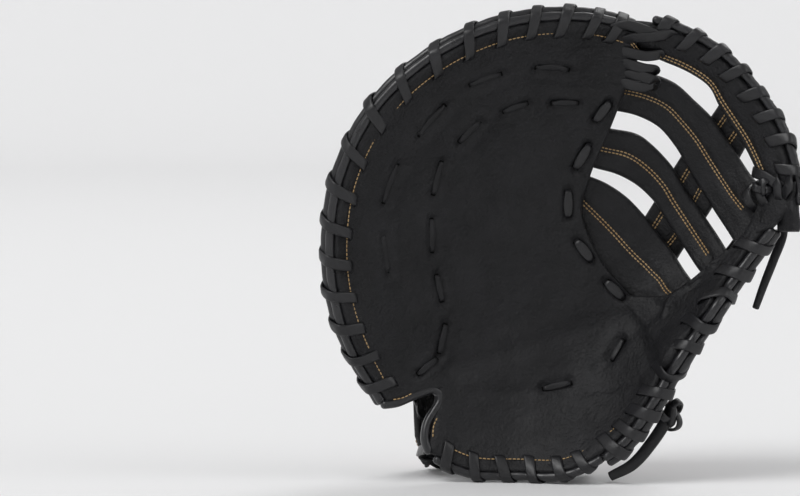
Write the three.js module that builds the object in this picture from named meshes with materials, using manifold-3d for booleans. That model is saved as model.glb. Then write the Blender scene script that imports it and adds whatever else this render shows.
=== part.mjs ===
// A first baseman's mitt standing on its heel: a bowl of padded palm leather, two back shells over the
// hand, a web of three bars and a post, a wrist strap, and rawhide lacing round the rim.
import * as THREE from "three";
import Module from "manifold-3d";
import { mergeVertices } from "three/addons/utils/BufferGeometryUtils.js";

const wasm = await Module();
wasm.setup();

// Sizes in millimetres. +Z is up, the palm looks along -Y and the thumb is on the +X side.
const MITT_WIDTH = 301;
const MITT_HEIGHT = 298;
const PALM_DEPTH = 70;
const PALM_THICK = 5;
const LINING_THICK = 2;
const SHELL_THICK = 3;
const STRAP_THICK = 5;
const BAR_THICK = 6.5;
const POST_THICK = 6;
const BAND_THICK = 7;
const RIM_STACK = 11;
const WELT_RADIUS = 2.4;
const LACE_WIDTH = 5;
const LACE_THICK = 1.5;
const STRIP_WIDTH = 8;
const CLEARANCE = 0.4;
const LAYER_GAP = 0.9;
const POCKET_ROUND = 28;

// Depths behind the palm's face, each layer lying on the one before it.
const LINING_LAYER = PALM_THICK + CLEARANCE;
const BAR_LAYER = PALM_THICK + LAYER_GAP;
const POST_LAYER = BAR_LAYER + BAR_THICK + LAYER_GAP;
const SIDE_LAYER = POST_LAYER + LAYER_GAP;
const POST_FOOT_LAYER = SIDE_LAYER + SHELL_THICK + 3 * LAYER_GAP;
const POST_FACE = POST_LAYER + POST_THICK + LAYER_GAP;
const SHELL_INSET = 2.5;
const REST_LEVEL = -1;

const BLACK_LEATHER = { color: 0x2b2b2d, roughness: 0.6, metalness: 0 };
const DARK_LINING = { color: 0x1c1c1e, roughness: 0.85, metalness: 0 };
const RAWHIDE = { color: 0x39393b, roughness: 0.5, metalness: 0 };
const ROLLED_WELT = { color: 0x242426, roughness: 0.35, metalness: 0 };
const RED_PATCH = { color: 0xa82035, roughness: 0.55, metalness: 0 };

// Tables: across and up are shares of the mitt's width and height, seen from the palm.
// The bowl, round its rim: across, up, forward as a share of the palm's depth, and how late the wall rises.
const BOWL_RIM = [
  [0.138, 0.165, 0.45, 1.7], [0.044, 0.392, 0.70, 1.8], [0.036, 0.515, 0.78, 1.9],
  [0.056, 0.646, 0.82, 1.9], [0.126, 0.785, 0.84, 1.9], [0.234, 0.888, 0.82, 2.0],
  [0.358, 0.949, 0.76, 2.1], [0.471, 0.973, 0.69, 2.3], [0.582, 0.966, 0.60, 2.5],
  [0.680, 0.964, 0.52, 2.6], [0.791, 0.920, 0.52, 2.4], [0.910, 0.802, 0.56, 2.1],
  [0.979, 0.648, 0.60, 1.7], [0.950, 0.563, 0.66, 1.5], [0.883, 0.464, 0.82, 1.5],
  [0.816, 0.373, 0.95, 1.5], [0.753, 0.274, 1.00, 1.5], [0.695, 0.177, 0.97, 1.6],
  [0.644, 0.105, 0.88, 1.7], [0.586, 0.053, 0.74, 1.8], [0.515, 0.025, 0.58, 1.9],
  [0.418, 0.021, 0.48, 1.9], [0.314, 0.021, 0.44, 1.8], [0.226, 0.068, 0.43, 1.7],
];
const POCKET = [0.617, 0.416];
const RIM_BLEND = 0.22;

// Edges that lie on the bowl: across, up.
const FINGER_RIM = [
  [0.151, 0.173], [0.092, 0.274], [0.054, 0.392], [0.044, 0.515],
  [0.065, 0.646], [0.134, 0.781], [0.243, 0.882], [0.364, 0.941],
  [0.475, 0.962], [0.582, 0.958], [0.657, 0.937],
];
// The crease runs from the heel notch to the pocket, and there the two web edges part.
const CREASE = [
  [0.245, 0.190], [0.324, 0.226], [0.418, 0.274], [0.513, 0.325],
  [0.596, 0.367], [0.653, 0.390],
];
const FINGER_WEB_EDGE = [
  [0.653, 0.390], [0.596, 0.458], [0.556, 0.561], [0.569, 0.637],
  [0.615, 0.753], [0.665, 0.890],
];
const THUMB_RIM = [
  [0.230, 0.076], [0.318, 0.038], [0.414, 0.034], [0.506, 0.038],
  [0.573, 0.070], [0.632, 0.122], [0.678, 0.190], [0.728, 0.278],
  [0.791, 0.371], [0.858, 0.464], [0.933, 0.565],
];
const THUMB_WEB_EDGE = [
  [0.653, 0.390], [0.715, 0.392], [0.774, 0.426], [0.826, 0.473],
  [0.879, 0.515], [0.916, 0.565],
];
const THUMB_SHELL_RIM = [
  [0.561, 0.059], [0.598, 0.089], [0.636, 0.127], [0.678, 0.190],
  [0.728, 0.278], [0.791, 0.371], [0.858, 0.464], [0.929, 0.561],
];
const SIDE_INNER = [
  [0.611, 0.371], [0.586, 0.435], [0.556, 0.511], [0.565, 0.616],
  [0.611, 0.738], [0.657, 0.861],
];
const UPPER_BAR_TOP = [
  [0.603, 0.859], [0.640, 0.861], [0.695, 0.850], [0.741, 0.831],
  [0.778, 0.797], [0.812, 0.762], [0.839, 0.724], [0.864, 0.684],
  [0.891, 0.643], [0.929, 0.603],
];
const UPPER_BAR_FOOT = [
  [0.594, 0.778], [0.628, 0.774], [0.669, 0.764], [0.711, 0.741],
  [0.741, 0.705], [0.762, 0.669], [0.782, 0.633], [0.801, 0.601],
  [0.824, 0.561], [0.862, 0.502],
];
const MIDDLE_BAR_TOP = [
  [0.565, 0.747], [0.613, 0.738], [0.669, 0.726], [0.703, 0.700],
  [0.736, 0.662], [0.762, 0.618], [0.785, 0.582], [0.808, 0.544],
  [0.841, 0.494],
];
const MIDDLE_BAR_FOOT = [
  [0.540, 0.671], [0.582, 0.656], [0.628, 0.643], [0.669, 0.620],
  [0.703, 0.586], [0.724, 0.553], [0.745, 0.515], [0.766, 0.481],
  [0.795, 0.439],
];
const LOWER_BAR_TOP = [
  [0.536, 0.650], [0.571, 0.639], [0.607, 0.624], [0.649, 0.595],
  [0.686, 0.555], [0.709, 0.523], [0.732, 0.489], [0.770, 0.430],
];
const LOWER_BAR_FOOT = [
  [0.519, 0.586], [0.538, 0.536], [0.565, 0.489], [0.592, 0.447],
  [0.623, 0.411], [0.657, 0.384], [0.682, 0.369], [0.707, 0.359],
];
const POST_LEFT = [
  [0.845, 0.831], [0.808, 0.766], [0.751, 0.679], [0.703, 0.586],
  [0.669, 0.527], [0.628, 0.473], [0.594, 0.435],
];
const POST_RIGHT = [
  [0.921, 0.789], [0.881, 0.719], [0.843, 0.652], [0.803, 0.582],
  [0.766, 0.515], [0.728, 0.464], [0.690, 0.418],
];
const BAND_INNER = [
  [0.686, 0.895], [0.728, 0.882], [0.774, 0.861], [0.812, 0.833],
  [0.833, 0.793], [0.858, 0.753], [0.881, 0.717], [0.900, 0.679],
  [0.921, 0.629], [0.937, 0.582],
];
const BAND_OUTER = [
  [0.686, 0.958], [0.741, 0.941], [0.791, 0.916], [0.833, 0.886],
  [0.870, 0.848], [0.904, 0.806], [0.933, 0.764], [0.954, 0.717],
  [0.969, 0.658], [0.979, 0.582],
];
const LINING_LEFT = [
  [0.243, 0.063], [0.276, 0.143], [0.243, 0.207], [0.176, 0.291],
  [0.151, 0.392], [0.159, 0.489],
];
const LINING_RIGHT = [
  [0.552, 0.063], [0.586, 0.143], [0.577, 0.232], [0.544, 0.321],
  [0.502, 0.414], [0.477, 0.498],
];
const NOTCH_EDGE = [
  [0.155, 0.158], [0.192, 0.165], [0.222, 0.171], [0.228, 0.162],
  [0.222, 0.131], [0.215, 0.093],
];
const PAD_LEFT = [
  [0.247, 0.325], [0.255, 0.426], [0.272, 0.511], [0.293, 0.557],
  [0.314, 0.578],
];
const PAD_RIGHT = [
  [0.381, 0.329], [0.383, 0.426], [0.372, 0.511], [0.351, 0.557],
  [0.322, 0.578],
];

// Edges behind the bowl: across, up, forward as a share of the palm's depth. A minus lies behind the pocket.
const FINGER_BACK_EDGE = [
  [0.159, 0.186, 0.13], [0.176, 0.245, -0.14], [0.243, 0.289, -0.33], [0.335, 0.310, -0.42],
  [0.418, 0.316, -0.45], [0.477, 0.321, -0.44], [0.485, 0.405, -0.42], [0.471, 0.500, -0.38],
  [0.485, 0.605, -0.30], [0.556, 0.753, -0.18], [0.653, 0.911, 0.17],
];
const THUMB_BACK_EDGE = [
  [0.577, 0.017, -0.21], [0.565, 0.105, -0.33], [0.544, 0.190, -0.42], [0.536, 0.274, -0.43],
  [0.619, 0.321, -0.36], [0.728, 0.363, -0.16], [0.841, 0.435, -0.04], [0.933, 0.536, 0.20],
];
const SIDE_SEAM = [
  [0.496, 0.329, -0.44], [0.502, 0.405, -0.42], [0.487, 0.500, -0.38], [0.502, 0.605, -0.30],
  [0.569, 0.747, -0.18], [0.653, 0.886, 0.10],
];
const BASE_OUTER = [
  [0.552, 0.312, -0.50], [0.619, 0.333, -0.46], [0.699, 0.359, -0.30],
];
const BASE_INNER = [
  [0.565, 0.376, -0.50], [0.619, 0.388, -0.48], [0.682, 0.405, -0.40],
];
const STRAP_TOP = [
  [0.527, 0.173, -0.48], [0.477, 0.156, -0.60], [0.387, 0.139, -0.68], [0.303, 0.131, -0.66],
  [0.238, 0.122, -0.54],
];
const STRAP_BOTTOM = [
  [0.556, -0.006, -0.30], [0.485, -0.006, -0.54], [0.393, -0.006, -0.66], [0.305, -0.006, -0.65],
  [0.243, -0.006, -0.54],
];
const WRIST_EDGE = [
  [0.172, 0.169, 0.10], [0.186, 0.232, -0.14], [0.251, 0.274, -0.33], [0.335, 0.295, -0.42],
  [0.414, 0.302, -0.45], [0.477, 0.304, -0.45], [0.515, 0.278, -0.45], [0.523, 0.232, -0.45],
  [0.515, 0.198, -0.50], [0.473, 0.173, -0.58], [0.387, 0.156, -0.65], [0.305, 0.148, -0.63],
  [0.251, 0.139, -0.53],
];

const lerp = THREE.MathUtils.lerp;
const sideways = (across) => (across - 0.5) * MITT_WIDTH;
const upwards = (up) => up * MITT_HEIGHT;
const flat = (rows) =>
  new THREE.CatmullRomCurve3(rows.map(([a, u]) => new THREE.Vector3(sideways(a), 0, upwards(u))));
const spatial = (rows) =>
  new THREE.CatmullRomCurve3(
    rows.map(([a, u, forward]) => new THREE.Vector3(sideways(a), -forward * PALM_DEPTH, upwards(u))),
  );

const pocket = { x: sideways(POCKET[0]), z: upwards(POCKET[1]) };
const rim = BOWL_RIM.map(([a, u, forward, power]) => {
  const x = sideways(a) - pocket.x;
  const z = upwards(u) - pocket.z;
  return { angle: Math.atan2(z, x), radius: Math.hypot(x, z), forward, power };
});

// How far the bowl's face lies behind the pocket's bottom at a place: minus is towards the ball.
function bowl(x, z) {
  const angle = Math.atan2(z - pocket.z, x - pocket.x);
  const distance = Math.hypot(z - pocket.z, x - pocket.x);
  const sum = { weight: 0, radius: 0, forward: 0, power: 0 };
  for (const row of rim) {
    const turn = Math.atan2(Math.sin(angle - row.angle), Math.cos(angle - row.angle));
    const weight = Math.exp(-((turn / RIM_BLEND) ** 2));
    sum.weight += weight;
    sum.radius += weight * row.radius;
    sum.forward += weight * row.forward;
    sum.power += weight * row.power;
  }
  const rounded = (reach) => Math.hypot(reach, POCKET_ROUND) - POCKET_ROUND;
  const share = rounded(distance) / rounded(sum.radius / sum.weight);
  return (-PALM_DEPTH * sum.forward * share ** (sum.power / sum.weight)) / sum.weight;
}

// The bowl's normal, looking backwards.
function bowlNormal(x, z) {
  const step = 0.5;
  const slopeX = (bowl(x + step, z) - bowl(x - step, z)) / (2 * step);
  const slopeZ = (bowl(x, z + step) - bowl(x, z - step)) / (2 * step);
  return new THREE.Vector3(-slopeX, 1, -slopeZ).normalize();
}

// A point on the bowl, `behind` millimetres behind its face.
const place = (x, z, behind) => new THREE.Vector3(x, bowl(x, z), z).addScaledVector(bowlNormal(x, z), behind);

// A surface on the bowl between two flat edges: s runs along them, t from the first to the second.
const onBowl = (first, second, layer) => (s, t, out) => {
  const p = first.getPoint(s).lerp(second.getPoint(s), t);
  return place(p.x, p.z, layer(s) + out);
};

// A free surface between two spatial edges that arches backwards; `out` is measured along its normal.
function arched(first, second, arch) {
  const base = (s, t) => {
    const a = first(s);
    const b = second(s);
    const deep = 1 - (1 - t) ** arch;
    return new THREE.Vector3(lerp(a.x, b.x, t), lerp(a.y, b.y, deep), lerp(a.z, b.z, t));
  };
  return (s, t, out) => {
    const step = 0.004;
    const s0 = Math.min(Math.max(s - step, 0), 1 - 2 * step);
    const t0 = Math.min(Math.max(t - step, 0), 1 - 2 * step);
    const along = base(s0 + 2 * step, t0 + step).sub(base(s0, t0 + step));
    const over = base(s0 + step, t0 + 2 * step).sub(base(s0 + step, t0));
    const normal = along.cross(over).normalize();
    if (normal.y < 0) normal.negate();
    return base(s, t).addScaledVector(normal, out);
  };
}

// The place (s, t) of a surface that lies over a spot seen from the palm.
function spotOn(surface, x, z) {
  let best = { s: 0.5, t: 0.5, off: Infinity };
  for (let span = 0.5; span > 0.002; span /= 2.5) {
    const middle = { ...best };
    for (let i = -4; i <= 4; i++) {
      for (let j = -4; j <= 4; j++) {
        const s = Math.min(Math.max(middle.s + (i * span) / 4, 0), 1);
        const t = Math.min(Math.max(middle.t + (j * span) / 4, 0), 1);
        const p = surface(s, t, 0);
        const off = Math.hypot(p.x - x, p.z - z);
        if (off < best.off) best = { s, t, off };
      }
    }
  }
  return best;
}

// A closed solid from corner points and faces, turned so that its faces look outwards.
function closed(points, faces) {
  let volume = 0;
  for (const [a, b, c] of faces) volume += points[a].dot(points[b].clone().cross(points[c]));
  const index = faces.flatMap(([a, b, c]) => (volume < 0 ? [a, c, b] : [a, b, c]));
  const geometry = new THREE.BufferGeometry().setFromPoints(points);
  geometry.setIndex(index);
  return geometry;
}

// Leather of one thickness over one or more patches of surface that share an edge.
function leather(patches, from, to) {
  const face = [];
  const back = [];
  const seen = new Map();
  const quads = [];
  for (const { surface, along, over, s = [0, 1], t = [0, 1] } of patches) {
    const ids = [];
    for (let i = 0; i <= along; i++) {
      for (let j = 0; j <= over; j++) {
        const place = [lerp(s[0], s[1], i / along), lerp(t[0], t[1], j / over)];
        const p = surface(...place, from);
        const key = [p.x, p.y, p.z].map((v) => Math.round(v * 500)).join();
        if (!seen.has(key)) {
          seen.set(key, face.length);
          face.push(p);
          back.push(surface(...place, to));
        }
        ids.push(seen.get(key));
      }
    }
    for (let i = 0; i < along; i++) {
      for (let j = 0; j < over; j++) {
        const a = i * (over + 1) + j;
        quads.push([ids[a], ids[a + 1], ids[a + over + 2], ids[a + over + 1]]);
      }
    }
  }
  return walled(face, back, quads);
}

// Joins a face and a back through walls along every edge that only one quad has.
function walled(face, back, quads) {
  const n = face.length;
  const faces = [];
  const edges = new Map();
  for (const quad of quads) {
    const crossed = face[quad[0]].distanceTo(face[quad[2]]) > face[quad[1]].distanceTo(face[quad[3]]);
    const turned = crossed ? [quad[1], quad[2], quad[3], quad[0]] : quad;
    const ring = turned.filter((id, k) => id !== turned[(k + 1) % 4]);
    if (ring.length < 3) continue;
    for (let k = 1; k + 1 < ring.length; k++) {
      faces.push([ring[0], ring[k], ring[k + 1]]);
      faces.push([ring[0] + n, ring[k + 1] + n, ring[k] + n]);
    }
    ring.forEach((id, k) => {
      const next = ring[(k + 1) % ring.length];
      edges.set(id + "_" + next, [id, next]);
    });
  }
  for (const [a, b] of edges.values()) {
    if (edges.has(b + "_" + a)) continue;
    faces.push([a, a + n, b + n], [a, b + n, b]);
  }
  return closed([...face, ...back], faces);
}

// A flat strip along points, its broad side looking along the given directions.
function strip(points, looks, width, thick) {
  const corners = [];
  const faces = [];
  points.forEach((p, i) => {
    const ahead = points[Math.min(i + 1, points.length - 1)].clone();
    const tangent = ahead.sub(points[Math.max(i - 1, 0)]).normalize();
    const side = tangent.clone().cross(looks[i]).normalize();
    const up = side.clone().cross(tangent).normalize();
    for (const [a, b] of [[-1, -1], [1, -1], [1, 1], [-1, 1]]) {
      corners.push(p.clone().addScaledVector(side, (a * width) / 2).addScaledVector(up, (b * thick) / 2));
    }
    if (i === 0) return;
    for (let k = 0; k < 4; k++) {
      const a = (i - 1) * 4 + k;
      const b = (i - 1) * 4 + ((k + 1) % 4);
      faces.push([a, b, b + 4], [a, b + 4, a + 4]);
    }
  });
  const last = corners.length - 4;
  faces.push([0, 2, 1], [0, 3, 2], [last, last + 1, last + 2], [last, last + 2, last + 3]);
  return closed(corners, faces);
}

// A round roll of leather along a path.
function roll(points, radius, steps, sides = 6) {
  const section = new THREE.Shape();
  for (let k = 0; k < sides; k++) {
    const turn = (2 * Math.PI * k) / sides;
    if (k === 0) section.moveTo(radius, 0);
    else section.lineTo(radius * Math.cos(turn), radius * Math.sin(turn));
  }
  section.closePath();
  const path = new THREE.CatmullRomCurve3(points);
  return new THREE.ExtrudeGeometry(section, { steps, extrudePath: path, bevelEnabled: false });
}

// One solid out of several that overlap.
function joined(...geometries) {
  const solid = (geometry) => {
    const bare = geometry.clone();
    bare.deleteAttribute("normal");
    bare.deleteAttribute("uv");
    const merged = mergeVertices(bare, 1e-4);
    return new wasm.Manifold(
      new wasm.Mesh({
        numProp: 3,
        vertProperties: merged.attributes.position.array,
        triVerts: new Uint32Array(merged.index.array),
      }),
    );
  };
  const mesh = geometries.map(solid).reduce((a, b) => a.add(b)).getMesh();
  const geometry = new THREE.BufferGeometry();
  geometry.setAttribute("position", new THREE.BufferAttribute(mesh.vertProperties, 3));
  geometry.setIndex(new THREE.BufferAttribute(mesh.triVerts, 1));
  return geometry;
}

// Along a rim edge: a point pushed outwards past the leather's edge and backwards from the palm's face.
function rimPoint(edge, s, outwards, behind) {
  const p = edge.getPoint(s);
  const a = edge.getPoint(Math.max(s - 0.01, 0));
  const b = edge.getPoint(Math.min(s + 0.01, 1));
  const tangent = place(b.x, b.z, 0).sub(place(a.x, a.z, 0)).normalize();
  const normal = bowlNormal(p.x, p.z);
  const outward = tangent.cross(normal).normalize();
  if (outward.x * (p.x - pocket.x) + outward.z * (p.z - pocket.z) < 0) outward.negate();
  return place(p.x, p.z, 0).addScaledVector(outward, outwards).addScaledVector(normal, behind);
}

const rimPath = (edge, from, to, count, outwards, behind) =>
  Array.from({ length: count + 1 }, (_, i) => rimPoint(edge, lerp(from, to, i / count), outwards, behind));

// Lacing that winds round the welts of a rim: a flat strip on a rounded helix.
function whipped(edge, { from, to, wraps, out, reach, middle, half, bend = 0.6 }) {
  const steps = 8 * wraps;
  const points = [];
  const looks = [];
  for (let i = 0; i <= steps; i++) {
    const s = lerp(from, to, i / steps);
    const turn = (Math.PI * i) / 4 + Math.PI;
    const soft = (v) => Math.sign(v) * Math.abs(v) ** bend;
    const point = rimPoint(edge, s, out + reach * soft(Math.cos(turn)), middle + half * soft(Math.sin(turn)));
    points.push(point);
    looks.push(point.clone().sub(rimPoint(edge, s, out, middle)).normalize());
  }
  return strip(points, looks, LACE_WIDTH, LACE_THICK);
}

// A strip laid over a surface through places given as across, up, lift.
function laid(rows, over, width = STRIP_WIDTH, thick = LACE_THICK, count = 8) {
  const path = new THREE.CatmullRomCurve3(
    rows.map(([a, u, lift]) => new THREE.Vector3(sideways(a), lift, upwards(u))),
  );
  const spots = Array.from({ length: count + 1 }, (_, i) => path.getPoint(i / count));
  const points = spots.map((p) => over(p.x, p.z, p.y));
  const looks = spots.map((p, i) => over(p.x, p.z, p.y + 5).sub(points[i]).normalize());
  return strip(points, looks, width, thick);
}

// A knot: a squashed ball where a strip is tied.
function knot(centre, size) {
  const ball = new THREE.SphereGeometry(0.5, 8, 5);
  ball.scale(size[0], size[1], size[2]);
  ball.translate(centre.x, centre.y, centre.z);
  return ball;
}

const group = new THREE.Group();
function add(name, geometry, finish) {
  // Leather is pressed flat where the mitt rests.
  const position = geometry.getAttribute("position");
  for (let i = 0; i < position.count; i++) position.setZ(i, Math.max(position.getZ(i), REST_LEVEL));
  const mesh = new THREE.Mesh(geometry, new THREE.MeshStandardMaterial(finish));
  mesh.name = name;
  group.add(mesh);
}

const fingerRim = flat(FINGER_RIM);
const thumbRim = flat(THUMB_RIM);
const chained = (a, b) => ({ getPoint: (s) => (s < 0.5 ? a.getPoint(2 * s) : b.getPoint(2 * s - 1)) });
const fingerInner = chained(flat(CREASE), flat(FINGER_WEB_EDGE));
const thumbInner = chained(flat(CREASE), flat(THUMB_WEB_EDGE));
const bandOuter = flat(BAND_OUTER);

// Palm leather: finger half and thumb half share the crease from the heel notch to the pocket.
const PARTING = 0.5;
const fingerHalf = onBowl(fingerInner, fingerRim, () => 0);
const thumbHalf = onBowl(thumbInner, thumbRim, () => 0);
add(
  "palm_panel",
  leather(
    [
      { surface: fingerHalf, along: 14, over: 8, s: [0, PARTING] },
      { surface: fingerHalf, along: 14, over: 8, s: [PARTING, 1] },
      { surface: thumbHalf, along: 14, over: 6, s: [0, PARTING], t: [1, 0] },
      { surface: thumbHalf, along: 15, over: 6, s: [PARTING, 1], t: [1, 0] },
    ],
    0,
    PALM_THICK,
  ),
  BLACK_LEATHER,
);
const liningSurface = onBowl(flat(LINING_LEFT), flat(LINING_RIGHT), () => LINING_LAYER);
add("palm_lining", leather([{ surface: liningSurface, along: 12, over: 8 }], 0, LINING_THICK), DARK_LINING);

// Back shells over the fingers and the thumb.
const shellEdge = (edge) => (s) => rimPoint(edge, s, -SHELL_INSET, RIM_STACK);
const pointsOf = (rows) => {
  const curve = spatial(rows);
  return (s) => curve.getPoint(s);
};
const fingerShell = arched(shellEdge(fingerRim), pointsOf(FINGER_BACK_EDGE), 1.9);
const thumbShell = arched(shellEdge(flat(THUMB_SHELL_RIM)), pointsOf(THUMB_BACK_EDGE), 1.7);
add("finger_back", leather([{ surface: fingerShell, along: 22, over: 8 }], 0, SHELL_THICK), BLACK_LEATHER);
add("thumb_back", leather([{ surface: thumbShell, along: 18, over: 8 }], 0, SHELL_THICK), BLACK_LEATHER);

// The web's side panel runs from the finger seam forwards to the bars.
const sideInner = flat(SIDE_INNER);
const sidePanel = arched(
  (s) => {
    const p = sideInner.getPoint(s);
    return place(p.x, p.z, SIDE_LAYER);
  },
  pointsOf(SIDE_SEAM),
  1,
);
add("web_side_panel", leather([{ surface: sidePanel, along: 14, over: 4 }], 0, SHELL_THICK), BLACK_LEATHER);
const basePanel = arched(pointsOf(BASE_INNER), pointsOf(BASE_OUTER), 1);
add("web_base_panel", leather([{ surface: basePanel, along: 6, over: 2 }], 0, SHELL_THICK), BLACK_LEATHER);

// Web bars behind the palm's edge, the post behind the bars, and the band round the top.
const bars = { upper: [UPPER_BAR_TOP, UPPER_BAR_FOOT], middle: [MIDDLE_BAR_TOP, MIDDLE_BAR_FOOT] };
bars.lower = [LOWER_BAR_TOP, LOWER_BAR_FOOT];
for (const [name, [top, foot]] of Object.entries(bars)) {
  const surface = onBowl(flat(top), flat(foot), () => BAR_LAYER);
  add("web_bar_" + name, leather([{ surface, along: 12, over: 3 }], 0, BAR_THICK), BLACK_LEATHER);
}
const postLayer = (s) => lerp(POST_LAYER, POST_FOOT_LAYER, THREE.MathUtils.smoothstep(s, 0.6, 0.9));
const postSurface = onBowl(flat(POST_LEFT), flat(POST_RIGHT), postLayer);
add("web_post", leather([{ surface: postSurface, along: 12, over: 3 }], 0, POST_THICK), BLACK_LEATHER);
const bandSurface = onBowl(flat(BAND_INNER), bandOuter, () => 0);
add("web_top_band", leather([{ surface: bandSurface, along: 18, over: 3 }], 0, BAND_THICK), BLACK_LEATHER);

// Wrist strap across the back of the wrist, with its label.
const strapSurface = arched(pointsOf(STRAP_TOP), pointsOf(STRAP_BOTTOM), 1);
add("wrist_strap", leather([{ surface: strapSurface, along: 14, over: 3 }], 0, STRAP_THICK), BLACK_LEATHER);
const labelFace = STRAP_THICK + CLEARANCE;
const labelPatches = [{ surface: strapSurface, along: 8, over: 2, s: [0.3, 0.86], t: [0.1, 0.88] }];
add("strap_label", leather(labelPatches, labelFace, labelFace + 1.2), RED_PATCH);

// The padded tongue over the index finger and the oval patch on the thumb.
function onShell(surface) {
  return (x, z, out) => {
    const { s, t } = spotOn(surface, x, z);
    return surface(s, t, out);
  };
}
const overFingers = onShell(fingerShell);
const overThumb = onShell(thumbShell);
const padLeft = flat(PAD_LEFT);
const padRight = flat(PAD_RIGHT);
const padSurface = (s, t, out) => {
  const p = padLeft.getPoint(s).lerp(padRight.getPoint(s), t);
  return overFingers(p.x, p.z, out);
};
const padFace = SHELL_THICK + LAYER_GAP;
add("index_pad", leather([{ surface: padSurface, along: 8, over: 4 }], padFace, padFace + 3), BLACK_LEATHER);
// An oval: s runs round it and t out from its middle.
const OVAL = { middle: [0.644, 0.241], short: 19, long: 33, lean: -0.45 };
const ovalSurface = (s, t, out) => {
  const turn = 2 * Math.PI * s;
  const x = (OVAL.short / 2) * t * Math.cos(turn);
  const z = (OVAL.long / 2) * t * Math.sin(turn);
  const leanX = x * Math.cos(OVAL.lean) - z * Math.sin(OVAL.lean);
  const leanZ = x * Math.sin(OVAL.lean) + z * Math.cos(OVAL.lean);
  return overThumb(sideways(OVAL.middle[0]) + leanX, upwards(OVAL.middle[1]) + leanZ, out);
};
const ovalPatches = [{ surface: ovalSurface, along: 20, over: 2 }];
add("thumb_patch", leather(ovalPatches, SHELL_THICK + CLEARANCE, SHELL_THICK + CLEARANCE + 1.2), RED_PATCH);

// Rolled bindings: round the wrist opening and in the heel notch.
const wristCurve = spatial(WRIST_EDGE);
add("wrist_binding", roll(wristCurve.getSpacedPoints(24), WELT_RADIUS, 30), ROLLED_WELT);
const notchCurve = flat(NOTCH_EDGE);
const notchPath = notchCurve.getSpacedPoints(10).map((p) => place(p.x, p.z, PALM_THICK / 2));
add("notch_binding", roll(notchPath, WELT_RADIUS, 14), ROLLED_WELT);

// Two welts round the fingers and the thumb, one round the heel and the band, and the lacing that winds
// over them.
const WELT_OUT = 5.4;
const THUMB_WELT_OUT = 6.95;
const FIRST_WELT = 4.2;
const SECOND_WELT = 9.6;
const HEEL_FROM = 0.03;
const HEEL_TO = 0.4;
const THUMB_FROM = 0.42;
const THUMB_TO = 0.985;
const welt = (edge, from, to, count, out, behind, steps) =>
  roll(rimPath(edge, from, to, count, out, behind), WELT_RADIUS, steps);
add("finger_welt_front", welt(fingerRim, 0.01, 0.985, 60, WELT_OUT, FIRST_WELT, 36), ROLLED_WELT);
add("finger_welt_back", welt(fingerRim, 0.01, 0.985, 60, WELT_OUT, SECOND_WELT, 36), ROLLED_WELT);
const thumbWelt = (behind) => welt(thumbRim, THUMB_FROM, THUMB_TO, 44, THUMB_WELT_OUT, behind, 28);
add("thumb_welt_front", thumbWelt(FIRST_WELT), ROLLED_WELT);
add("thumb_welt_back", thumbWelt(SECOND_WELT), ROLLED_WELT);
add("heel_welt", welt(thumbRim, HEEL_FROM, HEEL_TO, 12, WELT_OUT, FIRST_WELT, 14), ROLLED_WELT);
add("band_welt", welt(bandOuter, 0.02, 0.98, 16, WELT_OUT, FIRST_WELT, 18), ROLLED_WELT);
const twoWelts = { out: WELT_OUT, reach: 4.1, middle: (FIRST_WELT + SECOND_WELT) / 2, half: 7.5 };
const thumbWelts = { ...twoWelts, out: THUMB_WELT_OUT, reach: 4.8, half: 8.2 };
const oneWelt = { out: WELT_OUT, reach: 4.1, middle: FIRST_WELT, half: 4.1, bend: 0.75 };
const lacing = (edge, from, to, wraps, sizes) => whipped(edge, { from, to, wraps, ...sizes });
add("finger_rim_lace", lacing(fingerRim, 0.02, 0.97, 17, twoWelts), RAWHIDE);
add("thumb_rim_lace", lacing(thumbRim, THUMB_FROM + 0.01, THUMB_TO - 0.01, 10, thumbWelts), RAWHIDE);
add("heel_lace", lacing(thumbRim, HEEL_FROM + 0.01, HEEL_TO - 0.01, 5, oneWelt), RAWHIDE);
add("band_lace", lacing(bandOuter, 0.04, 0.96, 7, oneWelt), RAWHIDE);

// Lacing that ties the pieces together, with its knots and tails. Rows: across, up, lift or forward.
const behindPost = (x, z, lift) => place(x, z, POST_FACE + lift);
const freely = (x, z, y) => new THREE.Vector3(x, y, z);
const forwards = (rows) => rows.map(([a, u, forward]) => [a, u, -forward * PALM_DEPTH]);
function hanging(rows, look, width = STRIP_WIDTH, count = 8) {
  const path = new THREE.CatmullRomCurve3(
    forwards(rows).map(([a, u, y]) => freely(sideways(a), upwards(u), y)),
  );
  const points = path.getSpacedPoints(count);
  return strip(points, points.map(() => new THREE.Vector3(...look)), width, LACE_THICK);
}
const KNOT = [13, 7, 11];
const tie = (over, row, size = KNOT) => knot(over(sideways(row[0]), upwards(row[1]), row[2]), size);
const tieAt = ([a, u, forward], size = KNOT) =>
  knot(freely(sideways(a), upwards(u), -forward * PALM_DEPTH), size);

const upperKnot = [0.774, 0.616, 4.6];
add(
  "post_lace_upper",
  joined(
    tie(behindPost, upperKnot),
    laid([upperKnot, [0.680, 0.658, 4], [0.594, 0.671, 4]], behindPost),
    laid([upperKnot, [0.833, 0.591, 3.4], [0.887, 0.570, 1.5]], behindPost),
  ),
  RAWHIDE,
);
const lowerKnot = [0.611, 0.418, -0.58];
add(
  "post_lace_lower",
  joined(
    tieAt(lowerKnot),
    hanging([lowerKnot, [0.544, 0.439, -0.6], [0.494, 0.494, -0.55]], [0, 1, 0]),
    hanging([lowerKnot, [0.690, 0.401, -0.46], [0.774, 0.388, -0.26]], [0.3, 1, 0]),
  ),
  RAWHIDE,
);
const crownKnot = [0.548, 0.852, SHELL_THICK + 4.6];
add(
  "crown_lace",
  joined(
    tie(overFingers, crownKnot),
    laid([crownKnot, [0.494, 0.878, SHELL_THICK + 4], [0.418, 0.890, SHELL_THICK + 3]], overFingers, 6),
  ),
  RAWHIDE,
);
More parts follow.
